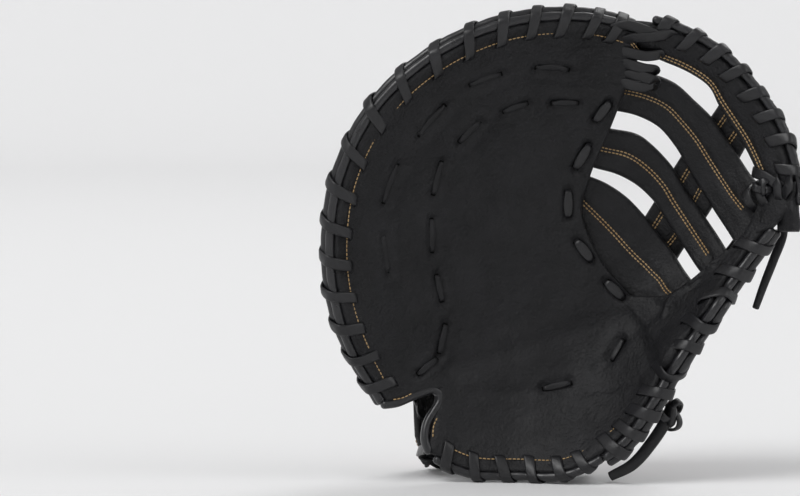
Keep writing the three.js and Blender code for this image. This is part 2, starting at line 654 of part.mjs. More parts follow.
const tipKnot = [0.590, 0.924, SHELL_THICK + 4.4];
add(
  "tip_lace",
  joined(
    tie(overFingers, tipKnot, [11, 6, 9]),
    laid([tipKnot, [0.548, 0.928, SHELL_THICK + 3.6], [0.485, 0.924, SHELL_THICK + 2.6]], overFingers, 6),
  ),
  RAWHIDE,
);
const thumbTipKnot = [0.874, 0.489, SHELL_THICK + 6];
add(
  "thumb_tip_lace",
  joined(
    tie(overThumb, thumbTipKnot, [11, 8, 14]),
    laid([thumbTipKnot, [0.858, 0.447, SHELL_THICK + 5], [0.824, 0.401, SHELL_THICK + 4]], overThumb, 6),
  ),
  RAWHIDE,
);
add(
  "thumb_tip_tail",
  hanging(
    [
      [0.967, 0.565, 0.2],
      [0.975, 0.527, 0.2],
      [0.954, 0.464, 0.2],
      [0.935, 0.414, 0.2],
      [0.918, 0.365, 0.2],
    ],
    [0.3, 1, 0],
    6,
  ),
  RAWHIDE,
);
const heelKnot = [0.736, 0.143, 0.42];
add(
  "thumb_heel_lace",
  joined(
    tieAt(heelKnot, [14, 10, 16]),
    hanging([heelKnot, [0.699, 0.084, 0.4], [0.657, 0.034, 0.38], [0.611, 0.008, 0.36]], [0.3, 1, 0]),
  ),
  RAWHIDE,
);
const strapKnot = [0.226, 0.110, -0.5];
add(
  "strap_lace_upper",
  joined(
    tieAt(strapKnot, [8, 12, 12]),
    hanging([[0.176, 0.135, 0.02], [0.195, 0.122, -0.25], strapKnot], [-1, 0, 0.3], 7),
  ),
  RAWHIDE,
);
const cornerKnot = [0.226, 0.034, -0.5];
add(
  "strap_lace_lower",
  joined(
    tieAt(cornerKnot, [8, 12, 10]),
    hanging(
      [[0.222, 0.063, 0.22], [0.209, 0.051, -0.1], [0.209, 0.042, -0.35], cornerKnot],
      [-1, 0, 0.3],
      7,
    ),
  ),
  RAWHIDE,
);
const TIP_TIES = [
  [[0.636, 0.924, 0], [0.669, 0.920, -1], [0.711, 0.911, 0]],
  [[0.636, 0.890, 0], [0.669, 0.880, -1], [0.703, 0.871, 0]],
  [[0.636, 0.848, 0], [0.669, 0.844, -1], [0.703, 0.835, 0]],
];
TIP_TIES.forEach((rows, i) => {
  const inFront = (x, z, lift) => place(x, z, lift - LACE_THICK / 2 - LAYER_GAP);
  add("tip_tie_" + (i + 1), laid(rows, inFront, 6, LACE_THICK, 4), RAWHIDE);
});

// Stands the mitt with the middle of its base at the origin.
group.updateMatrixWorld(true);
const box = new THREE.Box3().setFromObject(group);
const middle = box.getCenter(new THREE.Vector3());
for (const mesh of group.children) mesh.position.set(-middle.x, -middle.y, -box.min.z);

export default group;
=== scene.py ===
"""A first baseman's mitt standing on its heel, dressed in stitched black leather and rawhide lacing.

Lengths inside the builders are millimetres in the part's own frame: +Z is up, the palm looks along -Y and the
thumb is on the +X side. Meshes are written in metres, moved so that the part stands on the floor at the origin.
"""

import logging
import math
from dataclasses import dataclass, field
from enum import Enum
from functools import partial
from typing import Callable, ClassVar, Iterable, Sequence

import bmesh
import bpy
import numpy as np
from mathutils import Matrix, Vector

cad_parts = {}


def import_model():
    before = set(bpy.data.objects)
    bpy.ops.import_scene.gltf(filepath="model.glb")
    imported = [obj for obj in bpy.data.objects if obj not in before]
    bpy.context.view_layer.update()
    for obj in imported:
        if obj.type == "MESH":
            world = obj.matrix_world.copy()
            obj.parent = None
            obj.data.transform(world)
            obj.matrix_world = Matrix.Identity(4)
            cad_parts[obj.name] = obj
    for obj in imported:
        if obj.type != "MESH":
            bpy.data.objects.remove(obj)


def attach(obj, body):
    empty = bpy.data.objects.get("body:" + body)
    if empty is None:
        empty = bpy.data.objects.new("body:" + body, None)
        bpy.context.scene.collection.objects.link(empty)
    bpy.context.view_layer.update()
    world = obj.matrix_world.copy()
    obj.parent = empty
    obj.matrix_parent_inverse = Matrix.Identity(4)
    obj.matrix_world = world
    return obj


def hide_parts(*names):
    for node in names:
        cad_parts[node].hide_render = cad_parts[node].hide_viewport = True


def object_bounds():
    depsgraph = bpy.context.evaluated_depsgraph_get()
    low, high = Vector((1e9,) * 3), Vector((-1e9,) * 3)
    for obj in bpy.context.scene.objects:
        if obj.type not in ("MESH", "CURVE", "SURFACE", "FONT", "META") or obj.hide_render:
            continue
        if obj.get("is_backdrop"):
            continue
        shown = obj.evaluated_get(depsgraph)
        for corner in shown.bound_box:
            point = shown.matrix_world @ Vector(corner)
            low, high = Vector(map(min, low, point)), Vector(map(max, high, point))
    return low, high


LOG = logging.getLogger("mitt")
Array = np.ndarray
Surface = Callable[[Array, Array, Array], Array]
Relief = Callable[[Array], Array]
Rows = Sequence[Sequence[float]]

# The part's driving sizes, in millimetres.
MITT_WIDTH = 301.0
MITT_HEIGHT = 298.0
PALM_DEPTH = 70.0
PALM_THICK = 5.0
LINING_THICK = 2.0
SHELL_THICK = 3.0
STRAP_THICK = 5.0
BAR_THICK = 6.5
POST_THICK = 6.0
BAND_THICK = 7.0
RIM_STACK = 11.0
LAYER_GAP = 0.9
POCKET_ROUND = 28.0
SHELL_INSET = 2.5
REST_LEVEL = -1.0
RIM_BLEND = 0.22
WELT_OUT = 5.4
THUMB_WELT_OUT = 6.95
FIRST_WELT = 4.2
SECOND_WELT = 9.6
SHIFT = np.array([-0.4914, 4.0562, 1.0])

LINING_LAYER = PALM_THICK + 0.4
BAR_LAYER = PALM_THICK + LAYER_GAP
POST_LAYER = BAR_LAYER + BAR_THICK + LAYER_GAP
SIDE_LAYER = POST_LAYER + LAYER_GAP
POST_FOOT_LAYER = SIDE_LAYER + SHELL_THICK + 3 * LAYER_GAP
POST_FACE = POST_LAYER + POST_THICK + LAYER_GAP

# Tables of the part's edges: across and up are shares of the width and height, seen from the palm.
# BOWL_RIM adds how far forward the rim comes, as a share of the depth, and how late the wall rises.
BOWL_RIM = [
    (0.138, 0.165, 0.45, 1.7), (0.044, 0.392, 0.70, 1.8), (0.036, 0.515, 0.78, 1.9),
    (0.056, 0.646, 0.82, 1.9), (0.126, 0.785, 0.84, 1.9), (0.234, 0.888, 0.82, 2.0),
    (0.358, 0.949, 0.76, 2.1), (0.471, 0.973, 0.69, 2.3), (0.582, 0.966, 0.60, 2.5),
    (0.680, 0.964, 0.52, 2.6), (0.791, 0.920, 0.52, 2.4), (0.910, 0.802, 0.56, 2.1),
    (0.979, 0.648, 0.60, 1.7), (0.950, 0.563, 0.66, 1.5), (0.883, 0.464, 0.82, 1.5),
    (0.816, 0.373, 0.95, 1.5), (0.753, 0.274, 1.00, 1.5), (0.695, 0.177, 0.97, 1.6),
    (0.644, 0.105, 0.88, 1.7), (0.586, 0.053, 0.74, 1.8), (0.515, 0.025, 0.58, 1.9),
    (0.418, 0.021, 0.48, 1.9), (0.314, 0.021, 0.44, 1.8), (0.226, 0.068, 0.43, 1.7),
]
POCKET = (0.617, 0.416)
FLAT_EDGES = {
    "finger_rim": [
        (0.151, 0.173), (0.092, 0.274), (0.054, 0.392), (0.044, 0.515), (0.065, 0.646), (0.134, 0.781),
        (0.243, 0.882), (0.364, 0.941), (0.475, 0.962), (0.582, 0.958), (0.657, 0.937),
    ],
    "crease": [
        (0.245, 0.190), (0.324, 0.226), (0.418, 0.274), (0.513, 0.325), (0.596, 0.367), (0.653, 0.390),
    ],
    "finger_web": [
        (0.653, 0.390), (0.596, 0.458), (0.556, 0.561), (0.569, 0.637), (0.615, 0.753), (0.665, 0.890),
    ],
    "thumb_rim": [
        (0.230, 0.076), (0.318, 0.038), (0.414, 0.034), (0.506, 0.038), (0.573, 0.070), (0.632, 0.122),
        (0.678, 0.190), (0.728, 0.278), (0.791, 0.371), (0.858, 0.464), (0.933, 0.565),
    ],
    "thumb_web": [
        (0.653, 0.390), (0.715, 0.392), (0.774, 0.426), (0.826, 0.473), (0.879, 0.515), (0.916, 0.565),
    ],
    "thumb_shell_rim": [
        (0.561, 0.059), (0.598, 0.089), (0.636, 0.127), (0.678, 0.190), (0.728, 0.278), (0.791, 0.371),
        (0.858, 0.464), (0.929, 0.561),
    ],
    "side_inner": [
        (0.611, 0.371), (0.586, 0.435), (0.556, 0.511), (0.565, 0.616), (0.611, 0.738), (0.657, 0.861),
    ],
    "upper_bar_top": [
        (0.603, 0.859), (0.640, 0.861), (0.695, 0.850), (0.741, 0.831), (0.778, 0.797), (0.812, 0.762),
        (0.839, 0.724), (0.864, 0.684), (0.891, 0.643), (0.929, 0.603),
    ],
    "upper_bar_foot": [
        (0.594, 0.778), (0.628, 0.774), (0.669, 0.764), (0.711, 0.741), (0.741, 0.705), (0.762, 0.669),
        (0.782, 0.633), (0.801, 0.601), (0.824, 0.561), (0.862, 0.502),
    ],
    "middle_bar_top": [
        (0.565, 0.747), (0.613, 0.738), (0.669, 0.726), (0.703, 0.700), (0.736, 0.662), (0.762, 0.618),
        (0.785, 0.582), (0.808, 0.544), (0.841, 0.494),
    ],
    "middle_bar_foot": [
        (0.540, 0.671), (0.582, 0.656), (0.628, 0.643), (0.669, 0.620), (0.703, 0.586), (0.724, 0.553),
        (0.745, 0.515), (0.766, 0.481), (0.795, 0.439),
    ],
    "lower_bar_top": [
        (0.536, 0.650), (0.571, 0.639), (0.607, 0.624), (0.649, 0.595), (0.686, 0.555), (0.709, 0.523),
        (0.732, 0.489), (0.770, 0.430),
    ],
    "lower_bar_foot": [
        (0.519, 0.586), (0.538, 0.536), (0.565, 0.489), (0.592, 0.447), (0.623, 0.411), (0.657, 0.384),
        (0.682, 0.369), (0.707, 0.359),
    ],
    "post_left": [
        (0.845, 0.831), (0.808, 0.766), (0.751, 0.679), (0.703, 0.586), (0.669, 0.527), (0.628, 0.473),
        (0.594, 0.435),
    ],
    "post_right": [
        (0.921, 0.789), (0.881, 0.719), (0.843, 0.652), (0.803, 0.582), (0.766, 0.515), (0.728, 0.464),
        (0.690, 0.418),
    ],
    "band_outer": [
        (0.686, 0.958), (0.741, 0.941), (0.791, 0.916), (0.833, 0.886), (0.870, 0.848), (0.904, 0.806),
        (0.933, 0.764), (0.954, 0.717), (0.969, 0.658), (0.979, 0.582),
    ],
    "lining_left": [
        (0.243, 0.063), (0.276, 0.143), (0.243, 0.207), (0.176, 0.291), (0.151, 0.392), (0.159, 0.489),
    ],
    "lining_right": [
        (0.552, 0.063), (0.586, 0.143), (0.577, 0.232), (0.544, 0.321), (0.502, 0.414), (0.477, 0.498),
    ],
    "pad_left": [
        (0.247, 0.325), (0.255, 0.426), (0.272, 0.511), (0.293, 0.557), (0.314, 0.578),
    ],
    "pad_right": [
        (0.381, 0.329), (0.383, 0.426), (0.372, 0.511), (0.351, 0.557), (0.322, 0.578),
    ],
    "band_seen_inner": [
        (0.649, 0.878), (0.686, 0.895), (0.728, 0.882), (0.774, 0.861), (0.812, 0.833), (0.833, 0.793),
        (0.858, 0.753), (0.881, 0.717), (0.900, 0.679), (0.921, 0.629), (0.937, 0.582), (0.937, 0.544),
    ],
    "band_seen_outer": [
        (0.640, 0.949), (0.686, 0.958), (0.741, 0.941), (0.791, 0.916), (0.833, 0.886), (0.870, 0.848),
        (0.904, 0.806), (0.933, 0.764), (0.954, 0.717), (0.969, 0.658), (0.979, 0.582), (0.967, 0.549),
    ],
    "notch_seen_edge": [
        (0.138, 0.164), (0.163, 0.167), (0.192, 0.178), (0.220, 0.188), (0.238, 0.192), (0.251, 0.184),
        (0.253, 0.169), (0.241, 0.148), (0.228, 0.127), (0.222, 0.105), (0.222, 0.086), (0.228, 0.068),
    ],
    "tip_left": [
        (0.866, 0.498), (0.900, 0.553), (0.914, 0.595), (0.916, 0.629),
    ],
    "tip_right": [
        (0.937, 0.544), (0.971, 0.582), (0.985, 0.612), (0.987, 0.641),
    ],
}
# Edges behind the bowl add how far forward they lie, as a share of the depth.
SPATIAL_EDGES = {
    "finger_back_edge": [
        (0.159, 0.186, 0.13), (0.176, 0.245, -0.14), (0.243, 0.289, -0.33), (0.335, 0.310, -0.42),
        (0.418, 0.316, -0.45), (0.477, 0.321, -0.44), (0.485, 0.405, -0.42), (0.471, 0.500, -0.38),
        (0.485, 0.605, -0.30), (0.556, 0.753, -0.18), (0.653, 0.911, 0.17),
    ],
    "thumb_back_edge": [
        (0.577, 0.017, -0.21), (0.565, 0.105, -0.33), (0.544, 0.190, -0.42), (0.536, 0.274, -0.43),
        (0.619, 0.321, -0.36), (0.728, 0.363, -0.16), (0.841, 0.435, -0.04), (0.933, 0.536, 0.20),
    ],
    "side_seam": [
        (0.496, 0.329, -0.44), (0.502, 0.405, -0.42), (0.487, 0.500, -0.38), (0.502, 0.605, -0.30),
        (0.569, 0.747, -0.18), (0.653, 0.886, 0.10),
    ],
    "base_outer": [
        (0.552, 0.312, -0.50), (0.619, 0.333, -0.46), (0.699, 0.359, -0.30),
    ],
    "base_inner": [
        (0.565, 0.376, -0.50), (0.619, 0.388, -0.48), (0.682, 0.405, -0.40),
    ],
    "strap_seen_top": [
        (0.527, 0.186, -0.48), (0.477, 0.177, -0.60), (0.387, 0.169, -0.68), (0.303, 0.169, -0.66),
        (0.238, 0.169, -0.54), (0.205, 0.162, -0.36),
    ],
    "strap_seen_bottom": [
        (0.556, -0.006, -0.30), (0.485, -0.006, -0.54), (0.393, -0.006, -0.66), (0.305, -0.006, -0.65),
        (0.243, 0.004, -0.54), (0.207, 0.072, -0.40),
    ],
    "wrist_seen_edge": [
        (0.172, 0.169, 0.10), (0.186, 0.232, -0.14), (0.251, 0.274, -0.33), (0.335, 0.295, -0.42),
        (0.414, 0.302, -0.45), (0.477, 0.304, -0.45), (0.515, 0.278, -0.45), (0.527, 0.241, -0.45),
        (0.515, 0.209, -0.50), (0.473, 0.192, -0.59), (0.387, 0.184, -0.67), (0.305, 0.184, -0.65),
        (0.243, 0.184, -0.53), (0.197, 0.175, -0.28),
    ],
}


def at_px(across: float, up: float) -> Array:
    """A place on the mitt seen from the palm.

    Args:
        across: share of the width.
        up: share of the height.

    Returns:
        x and z in millimetres.
    """
    return np.array([(across - 0.5) * MITT_WIDTH, up * MITT_HEIGHT])


def lerp(a: Array, b: Array, t: Array) -> Array:
    """Blend from a to b.

    Args:
        a: start value.
        b: end value.
        t: share of the way.

    Returns:
        The blended value.
    """
    return a + (b - a) * t


def unit(v: Array) -> Array:
    """Scale vectors to length one.

    Args:
        v: vectors along the last axis.

    Returns:
        The unit vectors.
    """
    return v / np.maximum(np.linalg.norm(v, axis=-1, keepdims=True), 1e-9)


def smooth(x: Array) -> Array:
    """Smooth step from 0 to 1.

    Args:
        x: share, clipped to 0..1.

    Returns:
        3x^2 - 2x^3.
    """
    x = np.clip(x, 0.0, 1.0)
    return x * x * (3.0 - 2.0 * x)


class Curve:
    """A centripetal Catmull-Rom curve through points, each span taking an equal share of s."""

    def __init__(self, points: Iterable[Sequence[float]]) -> None:
        """Keep the points.

        Args:
            points: two or three numbers a row.
        """
        self.points = np.asarray(list(points), float)

    def at(self, s: Array) -> Array:
        """Points at shares of the curve.

        Args:
            s: shares from 0 to 1, of any shape.

        Returns:
            Points along the last axis: a cubic in each span whose end tangents are scaled by the square
            roots of the spans' lengths.
        """
        s = np.clip(np.asarray(s, float), 0.0, 1.0)
        p = self.points
        spans = len(p) - 1
        i = np.minimum((s * spans).astype(int), spans - 1)
        w = (s * spans - i)[..., None]
        q = np.vstack([2 * p[0] - p[1], p, 2 * p[-1] - p[-2]])
        a, b, c, d = q[i], q[i + 1], q[i + 2], q[i + 3]

        def gap(u: Array, v: Array) -> Array:
            """Square root of the distance, at least a hair."""
            return np.sqrt(np.maximum(np.linalg.norm(v - u, axis=-1, keepdims=True), 1e-8))

        da, db, dc = gap(a, b), gap(b, c), gap(c, d)
        m = ((b - a) / da - (c - a) / (da + db) + (c - b) / db) * db
        n = ((c - b) / db - (d - b) / (db + dc) + (d - c) / dc) * db
        return b + m * w + (3 * (c - b) - 2 * m - n) * w**2 + (2 * (b - c) + m + n) * w**3

    def even(self, step: float, start: float = 0.0, end: float = 1.0) -> Array:
        """Shares whose points lie evenly along the curve.

        Args:
            step: wished spacing.
            start: first share.
            end: last share.

        Returns:
            Increasing shares.
        """
        fine = np.linspace(start, end, 600)
        run = np.concatenate([[0], np.cumsum(np.linalg.norm(np.diff(self.at(fine), axis=0), axis=1))])
        count = max(int(round(run[-1] / step)), 2)
        return np.interp(np.linspace(0, run[-1], count + 1), run, fine)


class Chain:
    """Two curves run one after the other, each over half of s."""

    def __init__(self, first: Curve, second: Curve) -> None:
        """Keep both curves.

        Args:
            first: curve over the first half.
            second: curve over the second half.
        """
        self.first, self.second = first, second

    def at(self, s: Array) -> Array:
        """Points at shares of the chain.

        Args:
            s: shares from 0 to 1.

        Returns:
            Points along the last axis.
        """
        s = np.asarray(s, float)
        return np.where((s < 0.5)[..., None], self.first.at(2 * s), self.second.at(2 * s - 1))


class Bowl:
    """The catching bowl: its depth rises from the pocket to the rim along every direction."""

    def __init__(self) -> None:
        """Turn the rim table into angles and radii about the pocket."""
        self.centre = at_px(*POCKET)
        rows = np.array(BOWL_RIM)
        flat = np.stack([(rows[:, 0] - 0.5) * MITT_WIDTH, rows[:, 1] * MITT_HEIGHT], 1) - self.centre
        self.angle = np.arctan2(flat[:, 1], flat[:, 0])
        self.radius = np.hypot(flat[:, 0], flat[:, 1])
        self.forward, self.power = rows[:, 2], rows[:, 3]

    def depth(self, x: Array, z: Array) -> Array:
        """How far the face lies behind the pocket's bottom; minus is towards the ball.

        Args:
            x: sideways places.
            z: heights.

        Returns:
            y of the face: -depth * forward * (distance / radius) ** power, with the rim's values blended by
            a Gaussian of the turn, and distances rounded near the pocket.
        """
        dx, dz = x - self.centre[0], z - self.centre[1]
        turn = np.arctan2(dz, dx)[..., None] - self.angle
        turn = np.arctan2(np.sin(turn), np.cos(turn))
        weight = np.exp(-((turn / RIM_BLEND) ** 2))
        weight /= weight.sum(-1, keepdims=True)

        def rounded(r: Array) -> Array:
            """Distance from the pocket's bottom, flattened near it."""
            return np.hypot(r, POCKET_ROUND) - POCKET_ROUND

        share = rounded(np.hypot(dx, dz)) / rounded((weight * self.radius).sum(-1))
        return -PALM_DEPTH * (weight * self.forward).sum(-1) * share ** (weight * self.power).sum(-1)

    def normal(self, x: Array, z: Array) -> Array:
        """The face's normal, looking backwards.

        Args:
            x: sideways places.
            z: heights.

        Returns:
            Unit vectors.
        """
        h = 0.5
        dx = (self.depth(x + h, z) - self.depth(x - h, z)) / (2 * h)
        dz = (self.depth(x, z + h) - self.depth(x, z - h)) / (2 * h)
        return unit(np.stack([-dx, np.ones_like(dx), -dz], -1))

    def place(self, x: Array, z: Array, behind: Array) -> Array:
        """Points behind the face.

        Args:
            x: sideways places.
            z: heights.
            behind: millimetres behind the face, along its normal.

        Returns:
            Points along the last axis.
        """
        face = np.stack(np.broadcast_arrays(x, self.depth(x, z), z), -1)
        return face + self.normal(x, z) * np.asarray(behind, float)[..., None]


BOWL = Bowl()


def flat_curve(name: str) -> Curve:
    """The flat edge of that name.

    Args:
        name: key of FLAT_EDGES.

    Returns:
        A curve of x and z.
    """
    return Curve([at_px(a, u) for a, u in FLAT_EDGES[name]])


def spatial_curve(name: str) -> Curve:
    """The spatial edge of that name.

    Args:
        name: key of SPATIAL_EDGES.

    Returns:
        A curve of x, y and z.
    """
    return Curve([(at_px(a, u)[0], -f * PALM_DEPTH, at_px(a, u)[1]) for a, u, f in SPATIAL_EDGES[name]])


def on_bowl(first: Curve, second: Curve, layer: Callable[[Array], Array] | float = 0.0) -> Surface:
    """The surface on the bowl between two flat edges.

    Args:
        first: edge at t = 0.
        second: edge at t = 1.
        layer: millimetres behind the face, or a function of s.

    Returns:
        A surface of s along the edges, t from the first to the second, and out backwards.
    """
    def surface(s: Array, t: Array, out: Array) -> Array:
        flat = lerp(first.at(s), second.at(s), np.asarray(t)[..., None])
        deep = layer(s) if callable(layer) else layer
        return BOWL.place(flat[..., 0], flat[..., 1], deep + out)
    return surface


def arched(first: Callable[[Array], Array], second: Callable[[Array], Array], arch: float) -> Surface:
    """A free surface between two spatial edges that arches backwards.

    Args:
        first: points of the edge at t = 0.
        second: points of the edge at t = 1.
        arch: y follows 1 - (1 - t) ** arch while x and z go straight across.

    Returns:
        A surface of s, t and out along its backward normal.
    """
    def base(s: Array, t: Array) -> Array:
        a, b = first(s), second(s)
        t = np.asarray(t)[..., None]
        p = lerp(a, b, t)
        p[..., 1] = lerp(a[..., 1], b[..., 1], 1 - (1 - t[..., 0]) ** arch)
        return p

    def surface(s: Array, t: Array, out: Array) -> Array:
        s, t = np.broadcast_arrays(np.asarray(s, float), np.asarray(t, float))
        h = 0.004
        s0, t0 = np.clip(s - h, 0, 1 - 2 * h), np.clip(t - h, 0, 1 - 2 * h)
        along = base(s0 + 2 * h, t0 + h) - base(s0, t0 + h)
        over = base(s0 + h, t0 + 2 * h) - base(s0 + h, t0)
        normal = unit(np.cross(along, over))
        normal = np.where(normal[..., 1:2] < 0, -normal, normal)
        return base(s, t) + normal * np.asarray(out, float)[..., None]
    return surface


def over_shell(surface: Surface) -> Callable[[Array, Array, Array], Array]:
    """Turn a surface of s and t into one addressed by x and z seen from the palm.

    Args:
        surface: the surface.

    Returns:
        A function of x, z and out that finds s and t by a grid search and four Newton steps.
    """
    gs, gt = np.meshgrid(np.linspace(0, 1, 81), np.linspace(0, 1, 61), indexing="ij")
    grid = surface(gs, gt, 0 * gs)[..., ::2].reshape(-1, 2)

    def over(x: Array, z: Array, out: Array) -> Array:
        x, z = np.broadcast_arrays(np.asarray(x, float), np.asarray(z, float))
        goal = np.stack([x, z], -1)
        flat = goal.reshape(-1, 2)
        best = np.concatenate([
            ((grid[None] - part[:, None]) ** 2).sum(-1).argmin(1) for part in np.array_split(flat, 1 + len(flat) // 400)
        ])
        s, t = gs.ravel()[best].reshape(x.shape), gt.ravel()[best].reshape(x.shape)
        h = 0.002
        for _ in range(4):
            here = surface(s, t, 0 * s)[..., ::2]
            ds = (surface(s + h, t, 0 * s)[..., ::2] - surface(s - h, t, 0 * s)[..., ::2]) / (2 * h)
            dt = (surface(s, t + h, 0 * s)[..., ::2] - surface(s, t - h, 0 * s)[..., ::2]) / (2 * h)
            miss = goal - here
            det = ds[..., 0] * dt[..., 1] - ds[..., 1] * dt[..., 0]
            det = np.where(np.abs(det) < 1.0, 1.0, det)
            s = np.clip(s + np.clip((miss[..., 0] * dt[..., 1] - miss[..., 1] * dt[..., 0]) / det, -0.05, 0.05), 0, 1)
            t = np.clip(t + np.clip((ds[..., 0] * miss[..., 1] - ds[..., 1] * miss[..., 0]) / det, -0.05, 0.05), 0, 1)
        return surface(s, t, out)
    return over


def rim_point(edge: Curve, s: Array, outwards: Array, behind: Array) -> Array:
    """Points beside a rim edge.

    Args:
        edge: flat edge on the bowl.
        s: shares along it.
        outwards: millimetres past the leather's edge.
        behind: millimetres behind the palm's face.

    Returns:
        Points along the last axis.
    """
    p, a, b = edge.at(s), edge.at(np.maximum(s - 0.01, 0)), edge.at(np.minimum(s + 0.01, 1))
    tangent = unit(BOWL.place(b[..., 0], b[..., 1], 0 * s) - BOWL.place(a[..., 0], a[..., 1], 0 * s))
    normal = BOWL.normal(p[..., 0], p[..., 1])
    outward = unit(np.cross(tangent, normal))
    away = outward[..., 0] * (p[..., 0] - BOWL.centre[0]) + outward[..., 2] * (p[..., 1] - BOWL.centre[1])
    outward = np.where(away[..., None] < 0, -outward, outward)
    face = BOWL.place(p[..., 0], p[..., 1], 0 * s)
    return face + outward * np.asarray(outwards, float)[..., None] + normal * np.asarray(behind, float)[..., None]


@dataclass
class Mesh:
    """Points in millimetres with their faces, gathered from several parts.

    Attributes:
        points: the parts' points.
        faces: the parts' quads, as indices into all points.
        caps: further faces with any number of corners.
        count: points so far.
    """

    points: list[Array] = field(default_factory=list)
    faces: list[Array] = field(default_factory=list)
    caps: list[list[int]] = field(default_factory=list)
    count: int = 0

    def add(self, points: Array, faces: Array, caps: Iterable[Sequence[int]] = ()) -> "Mesh":
        """Add one part.

        Args:
            points: (n, 3) points.
            faces: (m, 4) quads into them.
            caps: further faces with any number of corners.

        Returns:
            This mesh.
        """
        self.points.append(points)
        self.faces.append(np.asarray(faces, int) + self.count)
        self.caps += [[int(i) + self.count for i in cap] for cap in caps]
        self.count += len(points)
        return self

    def join(self, other: "Mesh") -> "Mesh":
        """Add another mesh.

        Args:
            other: the mesh.

        Returns:
            This mesh.
        """
        if other.count:
            self.add(np.concatenate(other.points), np.concatenate(other.faces), other.caps)
        return self


def grid_faces(rows: int, columns: int, closed: bool = False) -> Array:
    """Quads of a grid.

    Args:
        rows: points along the first axis.
        columns: points along the second axis.
        closed: whether the second axis closes on itself.

    Returns:
        (m, 4) indices.
    """
    i, j = np.meshgrid(np.arange(rows - 1), np.arange(columns if closed else columns - 1), indexing="ij")
    k = (j + 1) % columns
    return np.stack([i * columns + j, i * columns + k, (i + 1) * columns + k, (i + 1) * columns + j], -1).reshape(-1, 4)


def dense(count: int, ends: int = 4) -> Array:
    """Shares from 0 to 1 that crowd towards both ends, for rounded edges.

    Args:
        count: even steps between.
        ends: extra shares next to each end.

    Returns:
        Increasing shares.
    """
    even = np.linspace(0, 1, count + 1)
    extra = np.linspace(0, 1, ends + 2)[1:-1] ** 1.6 * even[1]
    return np.unique(np.concatenate([even, extra, 1 - extra]))


@dataclass(frozen=True)
class Free:
    """Which sides of a leather patch are free edges, so that they are rounded.

    Attributes:
        start: the side at s = 0.
        end: the side at s = 1.
        first: the side at t = 0.
        second: the side at t = 1.
        first_from: share s from which the first side is free.
    """

    start: bool = True
    end: bool = True
    first: bool = True
    second: bool = True
    first_from: float = -1.0


def leather(surface: Surface, s: Array, t: Array, low: float, high: float, radius: float = 2.0,
            free: Free = Free(), crown: float = 0.0, face: Relief | None = None, back: Relief | None = None) -> Mesh:
    """Leather between two depths with rounded free edges.

    Args:
        surface: surface of s, t and out.
        s: shares along.
        t: shares across, falling for a patch whose turn is the other way.
        low: out of the first face.
        high: out of the second face.
        radius: how far in from an edge the rounding reaches.
        free: the sides that are free edges.
        crown: how far both faces swell in their middle.
        face: height added to the first face for points seen from it.
        back: height added to the second face.

    Returns:
        A mesh whose two faces meet at the free edges: at distance e from the nearest one the half
        thickness is half * sqrt(1 - (1 - e / radius) ** 2).
    """
    ss, tt = np.meshgrid(s, t, indexing="ij")
    middle, half = (low + high) / 2, (high - low) / 2
    lay = surface(ss, tt, 0 * ss + middle)
    ends = surface(np.array([[s[0]], [s[-1]]]) + 0 * tt[:2], np.stack([t, t]), 0 * tt[:2] + middle)
    sides = surface(np.stack([s, s], 1), np.array([[0.0, 1.0]]) + 0 * ss[:, :1], 0 * ss[:, :2] + middle)
    gap = np.full(ss.shape, 1e3)
    for use, line in ((free.start, ends[:1]), (free.end, ends[1:]), (free.second, sides[:, 1:2])):
        if use:
            gap = np.minimum(gap, np.linalg.norm(lay - line, axis=-1))
    if free.first:
        inner = np.linalg.norm(lay - sides[:, :1], axis=-1)
        gap = np.where(ss > free.first_from, np.minimum(gap, inner), gap)
    thick = half * np.sqrt(1 - (1 - np.clip(gap / radius, 0, 1)) ** 2)
    inside = smooth(gap / (2.5 * radius))
    swell = crown * smooth(gap / max(float(gap.max()), 1e-6)) if crown else 0.0
    front = thick + swell + (face(lay) * inside if face else 0.0)
    rear = thick + swell + (back(lay) * inside if back else 0.0)
    a = surface(ss, tt, middle - front)
    b = surface(ss, tt, middle + rear)
    n, m = ss.shape
    quads = grid_faces(n, m)
    mesh = Mesh().add(a.reshape(-1, 3), quads)
    mesh.add(b.reshape(-1, 3), quads[:, ::-1])
    ids = np.arange(n * m).reshape(n, m)
    walls = []
    for use, line in ((free.start, ids[0][::-1]), (free.end, ids[-1])):
        if not use:
            walls.append(np.stack([line[:-1], line[1:], line[1:] + n * m, line[:-1] + n * m], -1))
    if walls:
        mesh.faces.append(np.concatenate(walls))
    return mesh


def frames(points: Array, looks: Array) -> tuple[Array, Array, Array]:
    """Directions along, beside and over a path.

    Args:
        points: (n, 3) path.
        looks: (n, 3) directions that its broad side looks along.

    Returns:
        Unit tangents, side vectors and up vectors.
    """
    tangent = unit(np.gradient(points, axis=0))
    side = unit(np.cross(tangent, looks))
    return tangent, side, unit(np.cross(side, tangent))


